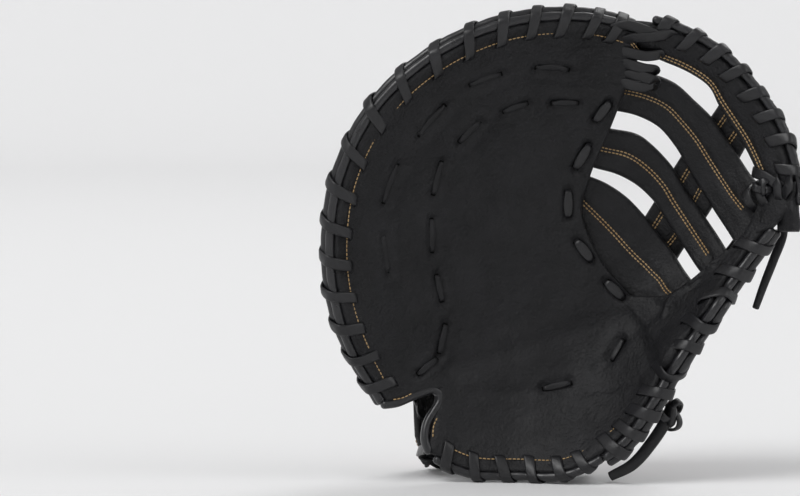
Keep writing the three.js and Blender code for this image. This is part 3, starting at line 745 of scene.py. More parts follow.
def sweep(points: Array, looks: Array, width: Array | float, thick: Array | float, sides: int = 12,
          square: float = 0.45, ends: int = 3) -> Mesh:
    """A strip or roll along a path, with rounded ends.

    Args:
        points: (n, 3) path.
        looks: directions that the broad side looks along.
        width: full width, along the side vector.
        thick: full thickness.
        sides: corners round the section.
        square: exponent of the section's sine and cosine: 1 is an ellipse and less is squarer.
        ends: rings that close each end.

    Returns:
        A closed mesh whose section is (w/2 sgn(cos)|cos|^k, h/2 sgn(sin)|sin|^k).
    """
    tangent, side, up = frames(points, looks)
    n = len(points)
    width, thick = np.broadcast_to(width, n).astype(float), np.broadcast_to(thick, n).astype(float)
    scale, shift, index = np.ones(n), np.zeros(n), np.arange(n)
    roll = np.linspace(0, 1, ends + 1)[1:] * math.pi / 2
    reach = min(thick[0], width[0]) / 2
    scale = np.concatenate([np.cos(roll[::-1]) + 0.04, scale, np.cos(roll) + 0.04])
    shift = np.concatenate([-np.sin(roll[::-1]) * reach, shift, np.sin(roll) * reach])
    index = np.concatenate([np.zeros(ends, int), index, np.full(ends, n - 1)])
    turn = np.linspace(0, 2 * math.pi, sides, endpoint=False)

    def power(v: Array) -> Array:
        """Squarer than a circle where square is under 1."""
        return np.sign(v) * np.abs(v) ** square

    x = (power(np.cos(turn))[None] * (width[index] * scale)[:, None] / 2)[..., None]
    y = (power(np.sin(turn))[None] * (thick[index] * scale)[:, None] / 2)[..., None]
    middle = points[index] + tangent[index] * shift[:, None]
    rings = middle[:, None] + x * side[index][:, None] + y * up[index][:, None]
    count = len(index)
    caps = [list(range(sides))[::-1], list(range((count - 1) * sides, count * sides))]
    return Mesh().add(rings.reshape(-1, 3), grid_faces(count, sides, True)[:, ::-1], [caps[0][::-1], caps[1][::-1]])


def resample(points: Array, step: float, start: float = 0.0) -> Array:
    """Points an even step apart along a dense path.

    Args:
        points: (n, 3) path.
        step: spacing.
        start: length skipped at both ends.

    Returns:
        Fractional indices into the path.
    """
    run = np.concatenate([[0], np.cumsum(np.linalg.norm(np.diff(points, axis=0), axis=1))])
    count = max(int((run[-1] - 2 * start) / step), 1)
    return np.interp(start + step * (np.arange(count) + 0.5), run, np.arange(len(points)))


@dataclass(frozen=True)
class Thread:
    """Sizes of a row of stitches, in millimetres.

    Attributes:
        pitch: from one stitch to the next.
        length: of one stitch.
        width: of the thread as it lies.
        height: of the thread over the leather.
        lift: how far its middle lies off the leather.
    """

    pitch: float = 3.0
    length: float = 2.3
    width: float = 0.95
    height: float = 0.8
    lift: float = 0.15


def stitches(points: Array, looks: Array, thread: Thread = Thread(), aside: float = 0.0) -> Mesh:
    """A row of short round stitches along a path.

    Args:
        points: (n, 3) path on the leather's face.
        looks: (n, 3) outward directions.
        thread: sizes.
        aside: how far the row lies beside the path.

    Returns:
        One capsule of five rings for each stitch.
    """
    at = resample(points, thread.pitch, 1.0)

    def pick(rows: Array) -> Array:
        """Values of the rows at the stitches."""
        return np.stack([np.interp(at, np.arange(len(rows)), rows[:, k]) for k in range(3)], -1)

    tangent, side, up = frames(points, looks)
    p, t, b, u = pick(points), unit(pick(tangent)), unit(pick(side)), unit(pick(up))
    along = np.array([-0.5, -0.36, 0.0, 0.36, 0.5]) * thread.length
    round_ = np.array([0.35, 0.85, 1.0, 0.85, 0.35])
    turn = np.linspace(0, 2 * math.pi, 6, endpoint=False)
    local = np.stack([
        np.repeat(along, 6),
        np.outer(round_, np.cos(turn)).ravel() * thread.width / 2 + aside,
        np.outer(round_, np.sin(turn)).ravel() * thread.height / 2 + thread.lift - 0.5 * np.repeat(along**2, 6) * 0.12,
    ], 1)
    spots = p[:, None] + np.einsum("vk,nkc->nvc", local, np.stack([t, b, u], 1))
    quads = grid_faces(5, 6, True)[:, ::-1]
    mesh = Mesh()
    ring = np.arange(6)
    caps = [[*(ring + 30 * k)] for k in range(len(p))] + [[*(ring[::-1] + 24 + 30 * k)] for k in range(len(p))]
    faces = (quads[None] + 30 * np.arange(len(p))[:, None, None]).reshape(-1, 4)
    return mesh.add(spots.reshape(-1, 3), faces, caps)


def line_gap(points: Array, line: Array) -> Array:
    """Distance from points to a polyline.

    Args:
        points: (..., 3) points.
        line: (n, 3) polyline.

    Returns:
        Distances.
    """
    best = np.full(points.shape[:-1], 1e6)
    for a, b in zip(line[:-1], line[1:]):
        d = b - a
        w = np.clip(((points - a) @ d) / max(float(d @ d), 1e-9), 0, 1)
        best = np.minimum(best, np.linalg.norm(points - a - w[..., None] * d, axis=-1))
    return best


class Piece(Enum):
    """The record's material slots."""

    BLACK_LEATHER = "black_leather"
    DARK_LINING = "dark_lining"
    RAWHIDE = "rawhide"
    ROLLED_WELT = "rolled_welt"
    RED_PATCH = "red_patch"


@dataclass(frozen=True)
class Finish:
    """A procedural finish of leather, thread or cloth.

    Attributes:
        name: the material's name.
        colour: linear base colour.
        second: linear colour that broad mottling leads to.
        rough: roughness.
        grain: cells to the metre of the grain.
        depth: strength of the grain's bump.
        crease: strength of the soft wrinkles.
        coat: clear coat, for glossy leather.
        sheen: cloth-like sheen.
        specular: specular level.
    """

    name: str
    colour: tuple[float, float, float]
    second: tuple[float, float, float]
    rough: float = 0.5
    grain: float = 700.0
    depth: float = 0.25
    crease: float = 0.15
    coat: float = 0.0
    sheen: float = 0.0
    specular: float = 0.35

    def material(self) -> bpy.types.Material:
        """Make or find the material.

        Returns:
            A material whose colour, roughness and bump follow the piece's own coordinates.
        """
        name = self.name + "_finish"
        found = bpy.data.materials.get(name)
        if found:
            return found
        made = bpy.data.materials.new(name)
        made.use_nodes = True
        tree = made.node_tree
        shader = tree.nodes["Principled BSDF"]
        where = tree.nodes.new("ShaderNodeTexCoord").outputs["Object"]
        node = tree.nodes.new
        link = tree.links.new

        def noise(scale: float, detail: float, rough: float = 0.5) -> bpy.types.NodeSocket:
            n = node("ShaderNodeTexNoise")
            n.inputs["Scale"].default_value = scale
            n.inputs["Detail"].default_value = detail
            n.inputs["Roughness"].default_value = rough
            link(where, n.inputs["Vector"])
            return n.outputs["Fac"]

        def spread(value: bpy.types.NodeSocket, low: float, high: float, out_low: float,
                   out_high: float) -> bpy.types.NodeSocket:
            n = node("ShaderNodeMapRange")
            for key, number in zip(("From Min", "From Max", "To Min", "To Max"), (low, high, out_low, out_high)):
                n.inputs[key].default_value = number
            link(value, n.inputs["Value"])
            return n.outputs["Result"]

        mix = node("ShaderNodeMix")
        mix.data_type = "RGBA"
        link(spread(noise(38.0, 4.0, 0.6), 0.35, 0.65, 0.0, 1.0), mix.inputs["Factor"])
        mix.inputs["A"].default_value = (*self.colour, 1.0)
        mix.inputs["B"].default_value = (*self.second, 1.0)
        link(mix.outputs["Result"], shader.inputs["Base Color"])
        link(spread(noise(120.0, 3.0), 0.3, 0.7, self.rough - 0.07, self.rough + 0.09), shader.inputs["Roughness"])
        cells = node("ShaderNodeTexVoronoi")
        cells.feature = "SMOOTH_F1"
        cells.inputs["Scale"].default_value = self.grain
        cells.inputs["Smoothness"].default_value = 0.4
        link(where, cells.inputs["Vector"])
        fine = node("ShaderNodeBump")
        fine.inputs["Strength"].default_value = self.depth
        fine.inputs["Distance"].default_value = 0.0006
        link(cells.outputs["Distance"], fine.inputs["Height"])
        broad = node("ShaderNodeBump")
        broad.inputs["Strength"].default_value = self.crease
        broad.inputs["Distance"].default_value = 0.002
        link(noise(240.0, 6.0, 0.66), broad.inputs["Height"])
        link(fine.outputs["Normal"], broad.inputs["Normal"])
        link(broad.outputs["Normal"], shader.inputs["Normal"])
        shader.inputs["Specular IOR Level"].default_value = self.specular
        shader.inputs["Coat Weight"].default_value = self.coat
        shader.inputs["Coat Roughness"].default_value = 0.25
        shader.inputs["Sheen Weight"].default_value = self.sheen
        shader.inputs["Sheen Roughness"].default_value = 0.5
        return made


LEATHER = Finish("black_leather", (0.0075, 0.0075, 0.0085), (0.012, 0.012, 0.0135), rough=0.5, grain=520.0, depth=0.45,
                 crease=0.6, specular=0.28)
PAD_LEATHER = Finish("pad_leather", (0.007, 0.007, 0.008), (0.011, 0.011, 0.0125), rough=0.48, grain=600.0, depth=0.4,
                     crease=0.5, specular=0.28)
LINING = Finish("dark_lining", (0.006, 0.006, 0.007), (0.012, 0.012, 0.013), rough=0.8, specular=0.2, crease=0.3)
FLEECE = Finish("fleece", (0.006, 0.006, 0.007), (0.014, 0.014, 0.015), rough=0.95, grain=420.0, depth=0.9,
                crease=0.8, sheen=0.3, specular=0.1)
LACE = Finish("rawhide", (0.0074, 0.0074, 0.0085), (0.013, 0.013, 0.0148), rough=0.37, grain=1500.0, depth=0.12,
              crease=0.12, specular=0.45)
DARK_LACE = Finish("dark_rawhide", (0.007, 0.007, 0.008), (0.011, 0.011, 0.0125), rough=0.45, grain=1200.0,
                   depth=0.15, crease=0.2, specular=0.3)
WELT = Finish("rolled_welt", (0.007, 0.007, 0.0085), (0.011, 0.011, 0.013), rough=0.34, grain=1300.0, depth=0.1,
              coat=0.25, specular=0.45)
RED = Finish("red_patch", (0.36, 0.014, 0.03), (0.42, 0.02, 0.04), rough=0.6, grain=1800.0, depth=0.35, crease=0.05)
WHITE = Finish("white_trim", (0.72, 0.71, 0.69), (0.8, 0.79, 0.77), rough=0.6, grain=2200.0, depth=0.4)
TAN = Finish("tan_thread", (0.42, 0.27, 0.12), (0.52, 0.36, 0.18), rough=0.6, grain=2600.0, depth=0.5)
# Painted shade: a near-black finish for the pills that stand in for the shade inside the punched lace holes.
HOLE_SHADE = Finish("painted_hole_shade", (0.002, 0.002, 0.002), (0.003, 0.003, 0.003), rough=0.9, specular=0.05)


@dataclass(frozen=True)
class Workshop:
    """Turns meshes into pieces that ride on the mitt.

    Attributes:
        metres: metres in one of the builders' units.
        weld_gap: metres within which points are joined.
        shortest: metres under which an edge is dissolved.
    """

    metres: float = 0.001
    weld_gap: float = 2e-6
    shortest: float = 1e-7

    def piece(self, name: str, mesh: Mesh, finish: Finish, slot: Piece | None = None,
              nodes: Sequence[str] = (), weld: bool = False, fill: float | None = None) -> bpy.types.Object:
        """Write one mesh as an object.

        Args:
            name: the piece's name.
            mesh: points in millimetres and faces.
            finish: its finish.
            slot: the record's slot; not used.
            nodes: CAD nodes it stands in for.
            weld: join points that coincide and turn the faces outwards.
            fill: how full a padded piece is; not used.

        Returns:
            The object.
        """
        points = np.concatenate(mesh.points)
        points[:, 2] = np.maximum(points[:, 2], REST_LEVEL)
        points = (points + SHIFT) * self.metres
        data = bpy.data.meshes.new(name)
        faces = np.concatenate(mesh.faces).tolist() + mesh.caps
        data.from_pydata(points.tolist(), [], faces)
        if weld:
            work = bmesh.new()
            work.from_mesh(data)
            bmesh.ops.remove_doubles(work, verts=work.verts, dist=self.weld_gap)
            bmesh.ops.dissolve_degenerate(work, edges=work.edges, dist=self.shortest)
            bmesh.ops.recalc_face_normals(work, faces=work.faces)
            work.to_mesh(data)
            work.free()
        data.validate()
        data.polygons.foreach_set("use_smooth", np.ones(len(data.polygons), bool))
        data.update()
        thing = bpy.data.objects.new(name, data)
        bpy.context.scene.collection.objects.link(thing)
        data.materials.append(finish.material())
        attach(thing, "root")
        if nodes:
            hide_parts(*nodes)
        LOG.info("%s: %d faces", name, len(data.polygons))
        return thing


def wrinkles(points: Array, size: float, height: float, seed: int) -> Array:
    """Soft random waves over leather.

    Args:
        points: (..., 3) points.
        size: wavelength in millimetres.
        height: their height.
        seed: seed of the directions.

    Returns:
        The mean of nine sine waves in random directions, bent by one slow wave.
    """
    rng = np.random.default_rng(seed)
    total = np.zeros(points.shape[:-1])
    bend = 1.5 * np.sin(points @ unit(rng.normal(size=3)) / (0.7 * size))
    for _ in range(9):
        wave = unit(rng.normal(size=3)) * 2 * math.pi / (size * rng.uniform(0.6, 1.8))
        total += np.sin(points @ wave + bend + rng.uniform(0, 6.28))
    return total * height / 3


def on_face(places: Array, behind: float = 0.0) -> Array:
    """Points of the palm's face.

    Args:
        places: (..., 2) x and z.
        behind: millimetres behind the face.

    Returns:
        (..., 3) points.
    """
    return BOWL.place(places[..., 0], places[..., 1], behind + 0 * places[..., 0])


def face_looks(places: Array) -> Array:
    """Directions out of the palm's face.

    Args:
        places: (..., 2) x and z.

    Returns:
        Unit vectors towards the ball.
    """
    return -BOWL.normal(places[..., 0], places[..., 1])


def inside_rim(edge: Curve, s: Array, inset: float) -> Array:
    """Places on the bowl inside a rim edge.

    Args:
        edge: flat edge.
        s: shares along it.
        inset: millimetres in from the leather's edge.

    Returns:
        (n, 2) x and z.
    """
    return rim_point(edge, s, -inset + 0 * s, 0 * s)[:, ::2]


def seam(surface: Surface, s: Array, t: Array, out: float, thread: Thread = Thread(),
         rows: Sequence[float] = (0.0,)) -> Mesh:
    """Stitch rows along a line of a surface.

    Args:
        surface: surface of s, t and out.
        s: shares along.
        t: shares across, or one number.
        out: depth of the face that the stitches lie on; its sign gives the side they look to.
        thread: sizes of the stitches.
        rows: how far each row lies beside the line.

    Returns:
        The stitches.
    """
    t = np.broadcast_to(np.asarray(t, float), s.shape)
    points = surface(s, t, 0 * s + out)
    looks = unit(surface(s, t, 0 * s + out + (1.0 if out > 0 else -1.0)) - points)
    mesh = Mesh()
    for aside in rows:
        mesh.join(stitches(points, looks, thread, aside))
    return mesh


def lace_run(start: Array, end: Array, lay: Callable[[Array, Array, Array], Array], side: float = -1.0,
             width: float = 5.0, thick: float = 1.7, bow: float = 0.0) -> Mesh:
    """A lace that comes out of one hole, lies on the leather and goes into the next.

    Args:
        start: x and z of the first hole.
        end: x and z of the second hole.
        lay: surface addressed by x, z and out.
        side: -1 where the leather's face looks to lower out, 1 where it looks to higher out.
        width: the lace's width.
        thick: its thickness.
        bow: how far its middle bends aside.

    Returns:
        The strip: its lift is a clipped half wave, so both ends sink into the leather.
    """
    w = np.linspace(0, 1, 22)
    ahead = unit(end - start)
    flat = lerp(start - 0.5 * ahead, end + 0.5 * ahead, w[:, None])
    flat = flat + np.array([-ahead[1], ahead[0]]) * (bow * np.sin(math.pi * w))[:, None]
    lift = lerp(-1.8, thick / 2 - 0.1, smooth(3.4 * np.sin(math.pi * w)))
    points = lay(flat[:, 0], flat[:, 1], side * lift)
    looks = unit(lay(flat[:, 0], flat[:, 1], side * (lift + 2)) - points)
    return sweep(points, looks, width * (0.45 + 0.55 * np.sin(math.pi * w) ** 0.7), thick)


def hole(spot: Array, ahead: Array, lay: Callable[[Array, Array, Array], Array], out: float,
         size: tuple[float, float] = (6.6, 2.6)) -> Mesh:
    """A painted hole shade: a near-black flat pill just over the leather, standing in for the shade inside a punched
    hole.

    Args:
        spot: x and z.
        ahead: direction of the lace that leaves it.
        lay: surface addressed by x, z and out.
        out: depth of the pill.
        size: its length across the lace and its width.

    Returns:
        The pill.
    """
    side = np.array([-ahead[1], ahead[0]])
    w = np.linspace(-0.5, 0.5, 7)
    flat = spot + side * (w * (size[0] - size[1]))[:, None]
    points = lay(flat[:, 0], flat[:, 1], 0 * w + out)
    looks = unit(lay(flat[:, 0], flat[:, 1], 0 * w + out - 1) - points)
    return sweep(points, looks, size[1], 0.5, sides=12, square=1.0)


def knot(centre: Array, size: tuple[float, float, float], turn: float, look: Array, width: float = 5.2) -> Mesh:
    """An overhand knot of flat lace.

    Args:
        centre: its middle.
        size: extents sideways, through and upwards.
        turn: turn about the direction it looks along.
        look: direction it looks along.
        width: the lace's width.

    Returns:
        A strip along the trefoil (sin a + 2 sin 2a, cos a - 2 cos 2a, -sin 3a), scaled to the size.
    """
    a = np.linspace(0, 2 * math.pi, 66)[:-1] + 0.3
    x, z, y = (np.sin(a) + 2 * np.sin(2 * a)) / 5.2, (np.cos(a) - 2 * np.cos(2 * a)) / 5.2, -np.sin(3 * a) / 2
    cx, cz = x * math.cos(turn) - z * math.sin(turn), x * math.sin(turn) + z * math.cos(turn)
    look = unit(np.asarray(look, float))
    side = unit(np.cross(np.array([0.0, 0.0, 1.0]), look))
    up = np.cross(look, side)
    core = np.outer(cx * (size[0] - 3), side) + np.outer(y * max(size[1] - 2.5, 1.5), look)
    core += np.outer(cz * (size[2] - 3), up)
    looks = unit(core + look * 2.5)
    points = centre + core
    ball = Mesh().join(sweep(np.concatenate([points, points[:2]]), np.concatenate([looks, looks[:2]]), width, 2.0,
                             sides=10, square=0.55))
    turns = np.linspace(-1, 1, 9)
    heart = centre + np.outer(turns * size[0] * 0.22, side)
    round_ = 0.8 * min(size[1], size[2]) * np.sqrt(np.maximum(1 - turns**2, 0.03))
    return ball.join(sweep(heart, np.tile(look, (9, 1)), 2 * round_, 1.4 * round_, square=1.0))


def along(rows: Sequence[Sequence[float]], steps: int = 40) -> Array:
    """Dense points of a curve through rows.

    Args:
        rows: points.
        steps: spans.

    Returns:
        (steps + 1, k) points.
    """
    return Curve(rows).at(np.linspace(0, 1, steps + 1))


class Pushed:
    """A rim edge pushed outwards, so that the leather reaches its welt."""

    def __init__(self, edge: Curve, outwards: float) -> None:
        """Sample the pushed edge.

        Args:
            edge: flat edge.
            outwards: millimetres past it.
        """
        self.shares = np.linspace(0, 1, 401)
        self.line = rim_point(edge, self.shares, outwards + 0 * self.shares, 0 * self.shares)[:, ::2]

    def at(self, s: Array) -> Array:
        """Points at shares of the edge.

        Args:
            s: shares from 0 to 1.

        Returns:
            x and z along the last axis.
        """
        return np.stack([np.interp(s, self.shares, self.line[:, k]) for k in range(2)], -1)


@dataclass
class Palm:
    """The padded palm leather with its lace runs, folds and edge stitching, and the lining behind it.

    Attributes:
        shop: makes the pieces.
        finger_reach: how far the leather passes the finger side's rim, to its welt.
        thumb_reach: the same on the thumb side.
        edge_round: radius of the leather's edges.
        fullness: how full the padding is.
        dip: depth of the dimple at a lace hole, and its width.
        furrow: depth of the furrow that a lace presses, and its width.
        swell: height of the leather beside a lace, where it is highest, and its width.
        lace_size: width and thickness of the pocket's lace.
        web_lace_size: width and thickness of the lace along the web's edge.
        lace_lift: how far the pocket's lace lies in the leather.
        thread: the edge stitching.
        thread_inset: how far in from the edge it runs, on the finger side and on the thumb side.
    """

    shop: Workshop
    finger_reach: float = 3.4
    thumb_reach: float = 3.8
    edge_round: float = 2.4
    fullness: float = 0.7
    dip: tuple[float, float] = (1.2, 3.0)
    furrow: tuple[float, float] = (0.75, 3.4)
    swell: tuple[float, float, float] = (0.45, 5.5, 2.6)
    lace_size: tuple[float, float] = (4.2, 1.5)
    web_lace_size: tuple[float, float] = (6.4, 2.2)
    lace_lift: float = 0.75
    thread: Thread = Thread(pitch=2.7, length=2.1, width=0.85, height=0.7)
    thread_inset: tuple[float, float] = (4.4, 4.2)

    # Lace runs: across and up of both holes, then how far the middle bends aside.
    RUNS: ClassVar[list[tuple[float, ...]]] = [
        (0.452, 0.876, 0.521, 0.871, 1.5), (0.314, 0.840, 0.379, 0.863, 0.8), (0.207, 0.734, 0.262, 0.797, 0.8),
        (0.134, 0.593, 0.163, 0.673, 0.8), (0.132, 0.523, 0.142, 0.445, 0.0),
        (0.487, 0.800, 0.542, 0.800, 0.6), (0.385, 0.783, 0.435, 0.800, 0.6), (0.293, 0.719, 0.335, 0.762, 0.6),
        (0.238, 0.608, 0.255, 0.677, 0.4), (0.234, 0.555, 0.236, 0.485, 0.0), (0.245, 0.435, 0.257, 0.380, 0.0),
        (0.264, 0.329, 0.251, 0.270, 0.0), (0.245, 0.257, 0.207, 0.226, 0.0), (0.471, 0.190, 0.529, 0.203, 0.0),
        (0.615, 0.253, 0.638, 0.295, 0.0),
    ]
    WEB_RUNS: ClassVar[list[tuple[float, ...]]] = [
        (0.579, 0.764, 0.607, 0.802, 0.0), (0.538, 0.662, 0.565, 0.709, 0.0), (0.523, 0.612, 0.523, 0.557, 0.0),
        (0.542, 0.504, 0.573, 0.464, 0.0), (0.605, 0.416, 0.640, 0.384, 0.0),
    ]
    # Folds: their places, then the height (minus is a valley) and the width.
    FOLDS: ClassVar[list[tuple]] = [
        ([(0.720, 0.354), (0.741, 0.392), (0.778, 0.414), (0.795, 0.428)], 1.5, 1.8),
        ([(0.770, 0.409), (0.776, 0.435), (0.799, 0.451), (0.822, 0.456)], 1.5, 1.8),
        ([(0.816, 0.460), (0.818, 0.485), (0.841, 0.504), (0.883, 0.515)], 1.4, 1.8),
        ([(0.272, 0.232), (0.418, 0.274), (0.565, 0.321), (0.669, 0.346)], -1.5, 7.0),
        ([(0.314, 0.181), (0.460, 0.186), (0.586, 0.190), (0.669, 0.215)], -1.1, 4.0),
        ([(0.586, 0.232), (0.653, 0.304), (0.711, 0.363)], -1.4, 5.0),
        ([(0.556, 0.574), (0.579, 0.502), (0.611, 0.464)], 0.5, 1.5),
    ]

    def __post_init__(self) -> None:
        """Work out the palm's curves."""
        self.finger_rim, self.thumb_rim = flat_curve("finger_rim"), flat_curve("thumb_rim")
        crease = flat_curve("crease")
        self.finger_inner = Chain(crease, flat_curve("finger_web"))
        self.thumb_inner = Chain(crease, flat_curve("thumb_web"))
        self.runs = [(at_px(*run[:2]), at_px(*run[2:4])) for run in self.RUNS + self.WEB_RUNS]

    def relief(self, lay: Array) -> Array:
        """Dimples at the lace holes, folds and wrinkles of the palm.

        Args:
            lay: (..., 3) points of the palm.

        Returns:
            Heights towards the ball.
        """
        rise = wrinkles(lay, 42.0, 0.9, 3) + wrinkles(lay, 15.0, 0.16, 4) + wrinkles(lay, 6.0, 0.05, 6)
        for a, b in self.runs:
            for spot in (a, b):
                gap = np.hypot(lay[..., 0] - spot[0], lay[..., 2] - spot[1])
                rise -= self.dip[0] * np.exp(-((gap / self.dip[1]) ** 2))
            d = b - a
            w = np.clip(((lay[..., 0] - a[0]) * d[0] + (lay[..., 2] - a[1]) * d[1]) / (d @ d), 0, 1)
            gap = np.hypot(lay[..., 0] - a[0] - w * d[0], lay[..., 2] - a[1] - w * d[1])
            high, beside, wide = self.swell
            rise += high * np.exp(-(((gap - beside) / wide) ** 2))
            rise -= self.furrow[0] * np.exp(-((gap / self.furrow[1]) ** 2))
        for places, height, width in self.FOLDS:
            line = on_face(along([at_px(*p) for p in places], 16), PALM_THICK / 2)
            gap = line_gap(lay, line)
            rise += height * np.exp(-((gap / width) ** 2))
        return rise

    def build(self) -> None:
        """Build the palm, its lining, its lacing and its stitching."""
        s = np.concatenate([dense(110)[:-1] * 0.5, 0.5 + dense(150) * 0.5])
        t = dense(96)
        free = Free(first_from=0.5)
        side = on_bowl(self.finger_inner, Pushed(self.finger_rim, self.finger_reach))
        mesh = leather(side, s, t, 0, PALM_THICK, self.edge_round, free, face=self.relief)
        side = on_bowl(self.thumb_inner, Pushed(self.thumb_rim, self.thumb_reach))
        mesh.join(leather(side, s, dense(64)[::-1], 0, PALM_THICK, self.edge_round, free, face=self.relief))
        self.shop.piece("palm_leather", mesh, LEATHER, Piece.BLACK_LEATHER, ["palm_panel"], True, self.fullness)
        lining = on_bowl(flat_curve("lining_left"), flat_curve("lining_right"), LINING_LAYER)
        mesh = leather(lining, dense(50), dense(36), 0, LINING_THICK, 1.0,
                       back=partial(wrinkles, size=16.0, height=0.25, seed=9))
        self.shop.piece("palm_lining_cloth", mesh, LINING, Piece.DARK_LINING, ["palm_lining"], True)
        self.lace()
        self.stitch()

    def lace(self) -> None:
        """Lay the lace runs of the pocket and of the web's edge, with pills of painted shade at their holes."""
        runs, web_runs, holes = Mesh(), Mesh(), Mesh()
        for k, run in enumerate(self.RUNS + self.WEB_RUNS):
            a, b = at_px(*run[:2]), at_px(*run[2:4])
            web = k >= len(self.RUNS)
            width, thick = self.web_lace_size if web else self.lace_size
            sunk = 0.0 if web else self.lace_lift

            def lay(x: Array, z: Array, out: Array) -> Array:
                """The palm's face, a little sunk under the pocket's laces."""
                return BOWL.place(x, z, out + sunk)

            (web_runs if web else runs).join(lace_run(a, b, lay, width=width, thick=thick, bow=run[4]))
            ahead = unit(b - a)
            for spot, way in ((a, ahead), (b, -ahead)):
                # Each hole gets a near-black pill: painted shade inside the punched hole.
                holes.join(hole(spot - way * 0.2, way, BOWL.place, 1.0, (width * 0.9, 1.3)))
        self.shop.piece("pocket_laces", runs, DARK_LACE, Piece.RAWHIDE)
        self.shop.piece("web_edge_laces", web_runs, LACE, Piece.RAWHIDE)
        # Painted shade of the lace holes, as near-black pills.
        self.shop.piece("pocket_lace_hole_shades", holes, HOLE_SHADE)

    def stitch(self) -> None:
        """Sew the rows inside the rim, the heel, the notch and the tip."""
        rows = Mesh()
        finger_inset, thumb_inset = self.thread_inset
        for edge, start, end, inset in (
            (self.finger_rim, 0.1, 0.985, finger_inset), (self.thumb_rim, 0.03, 0.5, thumb_inset),
        ):
            s = np.linspace(start, end, 500)
            places = inside_rim(edge, s, inset)
            rows.join(stitches(on_face(places, -0.25), face_looks(places), self.thread))
        short = [[0.103, 0.274], [0.119, 0.245], [0.138, 0.207]]
        tip = [[0.636, 0.943], [0.653, 0.928], [0.669, 0.907]]
        lobe = [[0.149, 0.173], [0.174, 0.177], [0.201, 0.190]]
        heel = [[0.266, 0.175], [0.259, 0.156], [0.247, 0.135], [0.238, 0.116], [0.236, 0.089]]
        for line, asides in ((short, (0.0,)), (tip, (-0.8, 0.8)), (lobe, (0.0,)), (heel, (0.0,))):
            places = along([at_px(*p) for p in line])
            for aside in asides:
                rows.join(stitches(on_face(places, -0.25), face_looks(places), self.thread, aside))
        self.shop.piece("palm_stitches", rows, TAN)


@dataclass(frozen=True)
class Wraps:
    """A run of lacing round a rim.

    Attributes:
        start: first share of the edge.
        end: last share.
        count: number of wraps.
        path: the loop that one wrap follows, as millimetres past the leather's edge and behind the face,
            starting in the hole behind the leather and crossing the face first.
        width: the lace's width.
        lean: share of a wrap's advance that is made on the face.
    """

    start: float
    end: float
    count: int
    path: tuple[tuple[float, float], ...]
    width: float = 7.0
    lean: float = 0.42


TWO_WELTS = ((-8.6, 6.0), (-8.2, 0.8), (-6.4, -0.9), (-1.0, -1.0), (4.6, 0.0), (8.6, 2.4), (9.2, 6.9),
             (8.6, 11.4), (5.4, 13.4), (1.0, 14.6), (-4.4, 15.6), (-7.8, 13.0))
THUMB_WELTS = ((-8.2, 6.0), (-7.8, 0.8), (-6.0, -0.9), (-0.4, -1.0), (6.0, 0.0), (10.2, 2.4), (10.9, 6.9),
               (10.2, 11.4), (6.9, 13.4), (1.5, 14.6), (-4.2, 15.6), (-7.6, 13.0))
ONE_WELT = ((-7.6, 4.0), (-7.2, 0.6), (-5.6, -0.9), (-0.6, -1.0), (4.4, 0.0), (8.2, 1.8), (8.9, 4.3), (8.1, 6.9),
            (5.2, 8.1), (1.0, 8.2), (-3.8, 8.2), (-7.0, 7.0))


